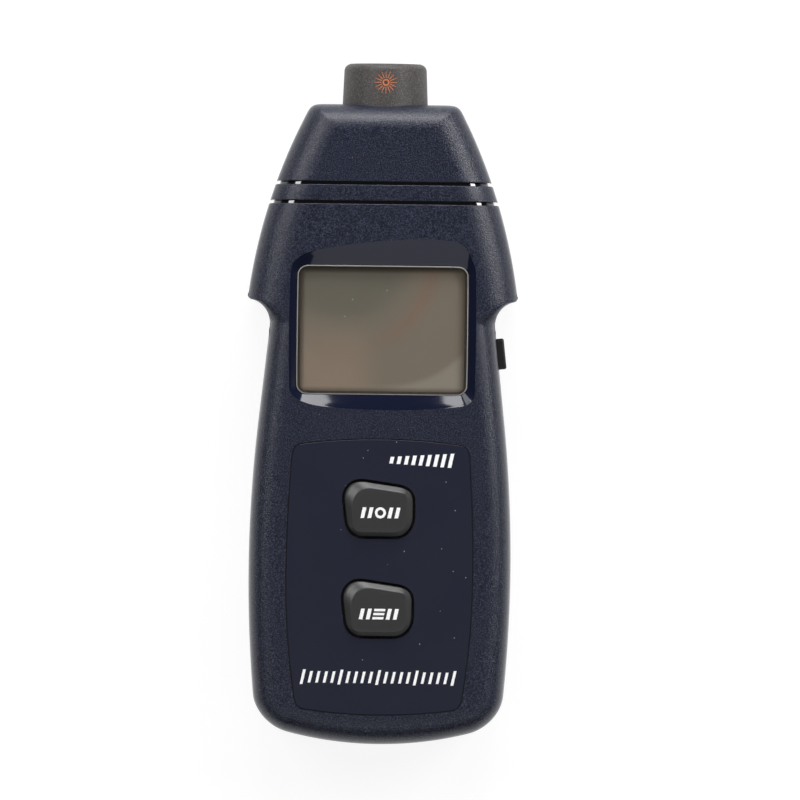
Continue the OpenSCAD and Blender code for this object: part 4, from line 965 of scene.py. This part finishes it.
def key(name, node, body, y):
    """A key cap: upright sides, a broad soft bevel and a flat top inside a fine raised edge."""
    at = [X_KEY, y]
    base, top = key_outline(KEY_SHARES), key_outline(KEY_TOP_SHARES)
    foot, high = face(y) - KEY_DEPTH, face(y) + KEY_PROUD - 0.03
    low = face(y) + KEY_PROUD * 0.25
    flange = grown(base, KEY_FLANGE_W) + at
    rings = [at_height(flange, foot - KEY_FLANGE_T), at_height(flange, foot),
             at_height(base + at, foot), at_height(base + at, low - 0.35)]
    for a in np.radians([25, 50]):
        rings.append(at_height(grown(base, -0.3 * (1 - np.cos(a))) + at, low - 0.35 + 0.35 * np.sin(a)))
    for t in (0.12, 0.3, 0.5, 0.7, 0.88):
        rings.append(at_height(base + (top - base) * t + at, low + (high - 0.1 - low) * t))
    for a in np.radians([30, 60, 90]):
        rings.append(at_height(grown(top, -0.5 * (1 - np.cos(a))) + at, high - 0.12 + 0.12 * np.sin(a)))
    centre = top.mean(0)
    rings.append(at_height(grown(top, -0.9) + at, high - KEY_DISH))
    for t in (0.8, 0.5, 0.2):
        rings.append(at_height(centre + (top - centre) * t + at, high - KEY_DISH))
    piece = loft(name, rings, KEY, 24)
    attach(piece, body)
    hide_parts(node)


def collar():
    """The optic collar, a turned profile carried round its axis."""
    seat = Y_TOP - COLLAR_SEAT
    foot = seat - COLLAR_FLANGE
    tip_turn = np.radians(np.linspace(0, 90, 9))
    tip_round, tip = 1.9, Y_TIP - COLLAR_SHORT
    profile = np.concatenate([
        [[THROAT_R, foot - 1.1], [10.8, foot - 1.1], [10.8, foot], [9.9, foot], [9.9, seat],
         [COLLAR_R - 0.2, seat], [COLLAR_R, seat + 0.2], [COLLAR_R, Y_TOP - 1]],
        np.stack([COLLAR_TIP_R - tip_round + tip_round * np.cos(tip_turn),
                  tip - tip_round + tip_round * np.sin(tip_turn)], 1),
        [[BORE_R + 0.1, tip], [BORE_R, tip - 0.1], [BORE_R, seat + 1], [THROAT_R, seat + 1],
         [THROAT_R, foot - 1.1]]])
    a = np.linspace(0, 2 * np.pi, 193)
    grid = np.stack([profile[:, :1] * np.cos(a), profile[:, 1:] + 0 * a,
                     SPLIT_Z + profile[:, :1] * np.sin(a)], -1)
    piece = solid("collar", [grid], COLLAR)
    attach(piece, "case")
    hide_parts("optic_collar")


def side_button():
    """The side key: a small bar with rounded edges."""
    out = SIDE_KEY_PROUD
    rings = [side_key_ring(SIDE_FLANGE_W, -SIDE_FLANGE_IN - SIDE_FLANGE_T),
             side_key_ring(SIDE_FLANGE_W, -SIDE_FLANGE_IN), side_key_ring(0, -SIDE_FLANGE_IN)]
    for a in np.radians([0, 25, 50, 75, 90]):
        rings.append(side_key_ring(-0.5 * (1 - np.cos(a)), out - 0.5 + 0.5 * np.sin(a)))
    piece = loft("side_button", rings, BLACK)
    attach(piece, "side_key")
    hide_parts("test_button")


front_shell()
rear_shell()
bezel()
window()
label()
key("upper_key_cap", "read_key", "upper_key", Y_KEYS[0])
key("lower_key_cap", "mem_key", "lower_key", Y_KEYS[1])
collar()
side_button()
marks()

# Every node that stays gets its own finish

STEEL = finish("steel_plated", (0.55, 0.55, 0.56), 0.3, metal=1.0)
BRASS = finish("brass", (0.62, 0.45, 0.2), 0.3, metal=1.0)
BOARD = finish("board_green", (0.02, 0.12, 0.05), 0.4)
GLASS = finish("lens_glass", (0.9, 0.94, 0.96), 0.02, glass=1.0, ior=1.52)
RUBBER = finish("contact_rubber", (0.5, 0.12, 0.08), 0.6)
LIGHT = finish("light_plastic", (0.6, 0.59, 0.56), 0.5)
NODE_FINISH = {
    "battery_door": CASE, "lcd_glass": display_finish(), "lcd_frame": LIGHT, "zebra_strips": RUBBER,
    "main_board": BOARD, "sensor_board": BOARD, "mcu_chip": BLACK, "quartz_crystal": STEEL,
    "filter_capacitor": finish("sleeve_blue", (0.02, 0.04, 0.15), 0.4), "aperture_plate": BLACK,
    "optics_holder": BLACK, "receiver_lens": GLASS, "laser_module": BRASS, "photodiode": BLACK,
    "light_shield": BLACK, "battery_springs": STEEL, "battery_contacts": STEEL,
    "case_screws": STEEL, "board_screws": STEEL}
CELL = finish("cell_sleeve", (0.5, 0.25, 0.03), 0.35)
for node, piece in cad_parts.items():
    if node in NODE_FINISH:
        chosen = NODE_FINISH[node]
    elif node.startswith("cell"):
        chosen = CELL
    elif node.endswith("plunger"):
        chosen = LIGHT
    else:
        chosen = BLACK
    if not piece.material_slots:
        piece.data.materials.append(chosen)
    for place in piece.material_slots:
        place.material = chosen


# Floor, light and camera

def floor():
    """A plain pale floor that keeps the object's shadow."""
    mesh = bpy.data.meshes.new("floor")
    half = 2.0
    corners = [(-half, -half, 0), (half, -half, 0), (half, half, 0), (-half, half, 0)]
    mesh.from_pydata(corners, [], [(0, 1, 2, 3)])
    ground = bpy.data.objects.new("floor", mesh)
    bpy.context.scene.collection.objects.link(ground)
    ground.location.z = -0.0002
    made = bpy.data.materials.new("floor_pale")
    made.use_nodes = True
    nodes, link = made.node_tree.nodes, made.node_tree.links.new
    shader = nodes["Principled BSDF"]
    shader.inputs["Base Color"].default_value = (0.93, 0.93, 0.93, 1)
    shader.inputs["Roughness"].default_value = 1
    shader.inputs["Specular IOR Level"].default_value = 0
    glow = nodes.new("ShaderNodeEmission")
    glow.inputs["Strength"].default_value = 1.1
    path = nodes.new("ShaderNodeLightPath")
    seen = maths(nodes, link, "MAXIMUM", path.outputs["Is Camera Ray"], path.outputs["Is Glossy Ray"])
    both = nodes.new("ShaderNodeMixShader")
    link(maths(nodes, link, "MULTIPLY", seen, 0.8), both.inputs[0])
    link(shader.outputs[0], both.inputs[1])
    link(glow.outputs[0], both.inputs[2])
    link(both.outputs[0], nodes["Material Output"].inputs["Surface"])
    mesh.materials.append(made)


def lamp(name, place, aim, width, height, power):
    """A soft box: a flat light, level along its width, turned to face its aim."""
    data = bpy.data.lights.new(name, "AREA")
    data.shape, data.size, data.size_y, data.energy = "RECTANGLE", width, height, power
    box = bpy.data.objects.new(name, data)
    bpy.context.scene.collection.objects.link(box)
    box.location = place
    box.rotation_euler = (Vector(place) - Vector(aim)).to_track_quat("Z", "Y").to_euler()


floor()
lamp("left_box", (-0.66, 0.45, 0.84), (0, 0, 0), 0.5, 0.30, 3.8)
lamp("right_box", (0.77, 0.43, 0.70), (0, 0, 0), 0.5, 0.28, 6.0)
lamp("far_box", (0.06, 1.07, 0.52), (0, 0, 0), 0.8, 0.58, 11.5)
lamp("near_card", (0, -0.50, 0.93), (0, 0, 0), 1.9, 0.5, 2.3)
lamp("low_left_box", (-0.53, 0.76, 0.58), (0, 0, 0), 0.3, 0.26, 0.9)

world = bpy.context.scene.world or bpy.data.worlds.new("world")
bpy.context.scene.world = world
world.use_nodes = True
nodes, link = world.node_tree.nodes, world.node_tree.links.new
around = nodes.new("ShaderNodeTexCoord")
split = nodes.new("ShaderNodeSeparateXYZ")
link(around.outputs["Generated"], split.inputs[0])
nodes["Background"].inputs["Color"].default_value = (1, 1, 1, 1)
link(ramp(nodes, link, split.outputs[2], -0.02, 0.22, 0.9, 0.06), nodes["Background"].inputs["Strength"])

# The photograph's view: straight down, turned a little, from far above
VIEW_HEIGHT, VIEW_WIDTH, SENSOR = 4000, 217.4, 36
VIEW_X, VIEW_Y, VIEW_TURN = 5.0, 1.09, 0.705
camera_data = bpy.data.cameras.new("camera")
camera_data.sensor_width = SENSOR
camera_data.lens = SENSOR * VIEW_HEIGHT / VIEW_WIDTH
camera = bpy.data.objects.new("camera", camera_data)
camera.location = (VIEW_X * METRE, VIEW_Y * METRE, (SPLIT_Z + VIEW_HEIGHT) * METRE)
camera.rotation_euler = (0, 0, np.radians(VIEW_TURN))
bpy.context.scene.collection.objects.link(camera)
bpy.context.scene.camera = camera
bpy.context.scene.view_settings.view_transform = "Standard"
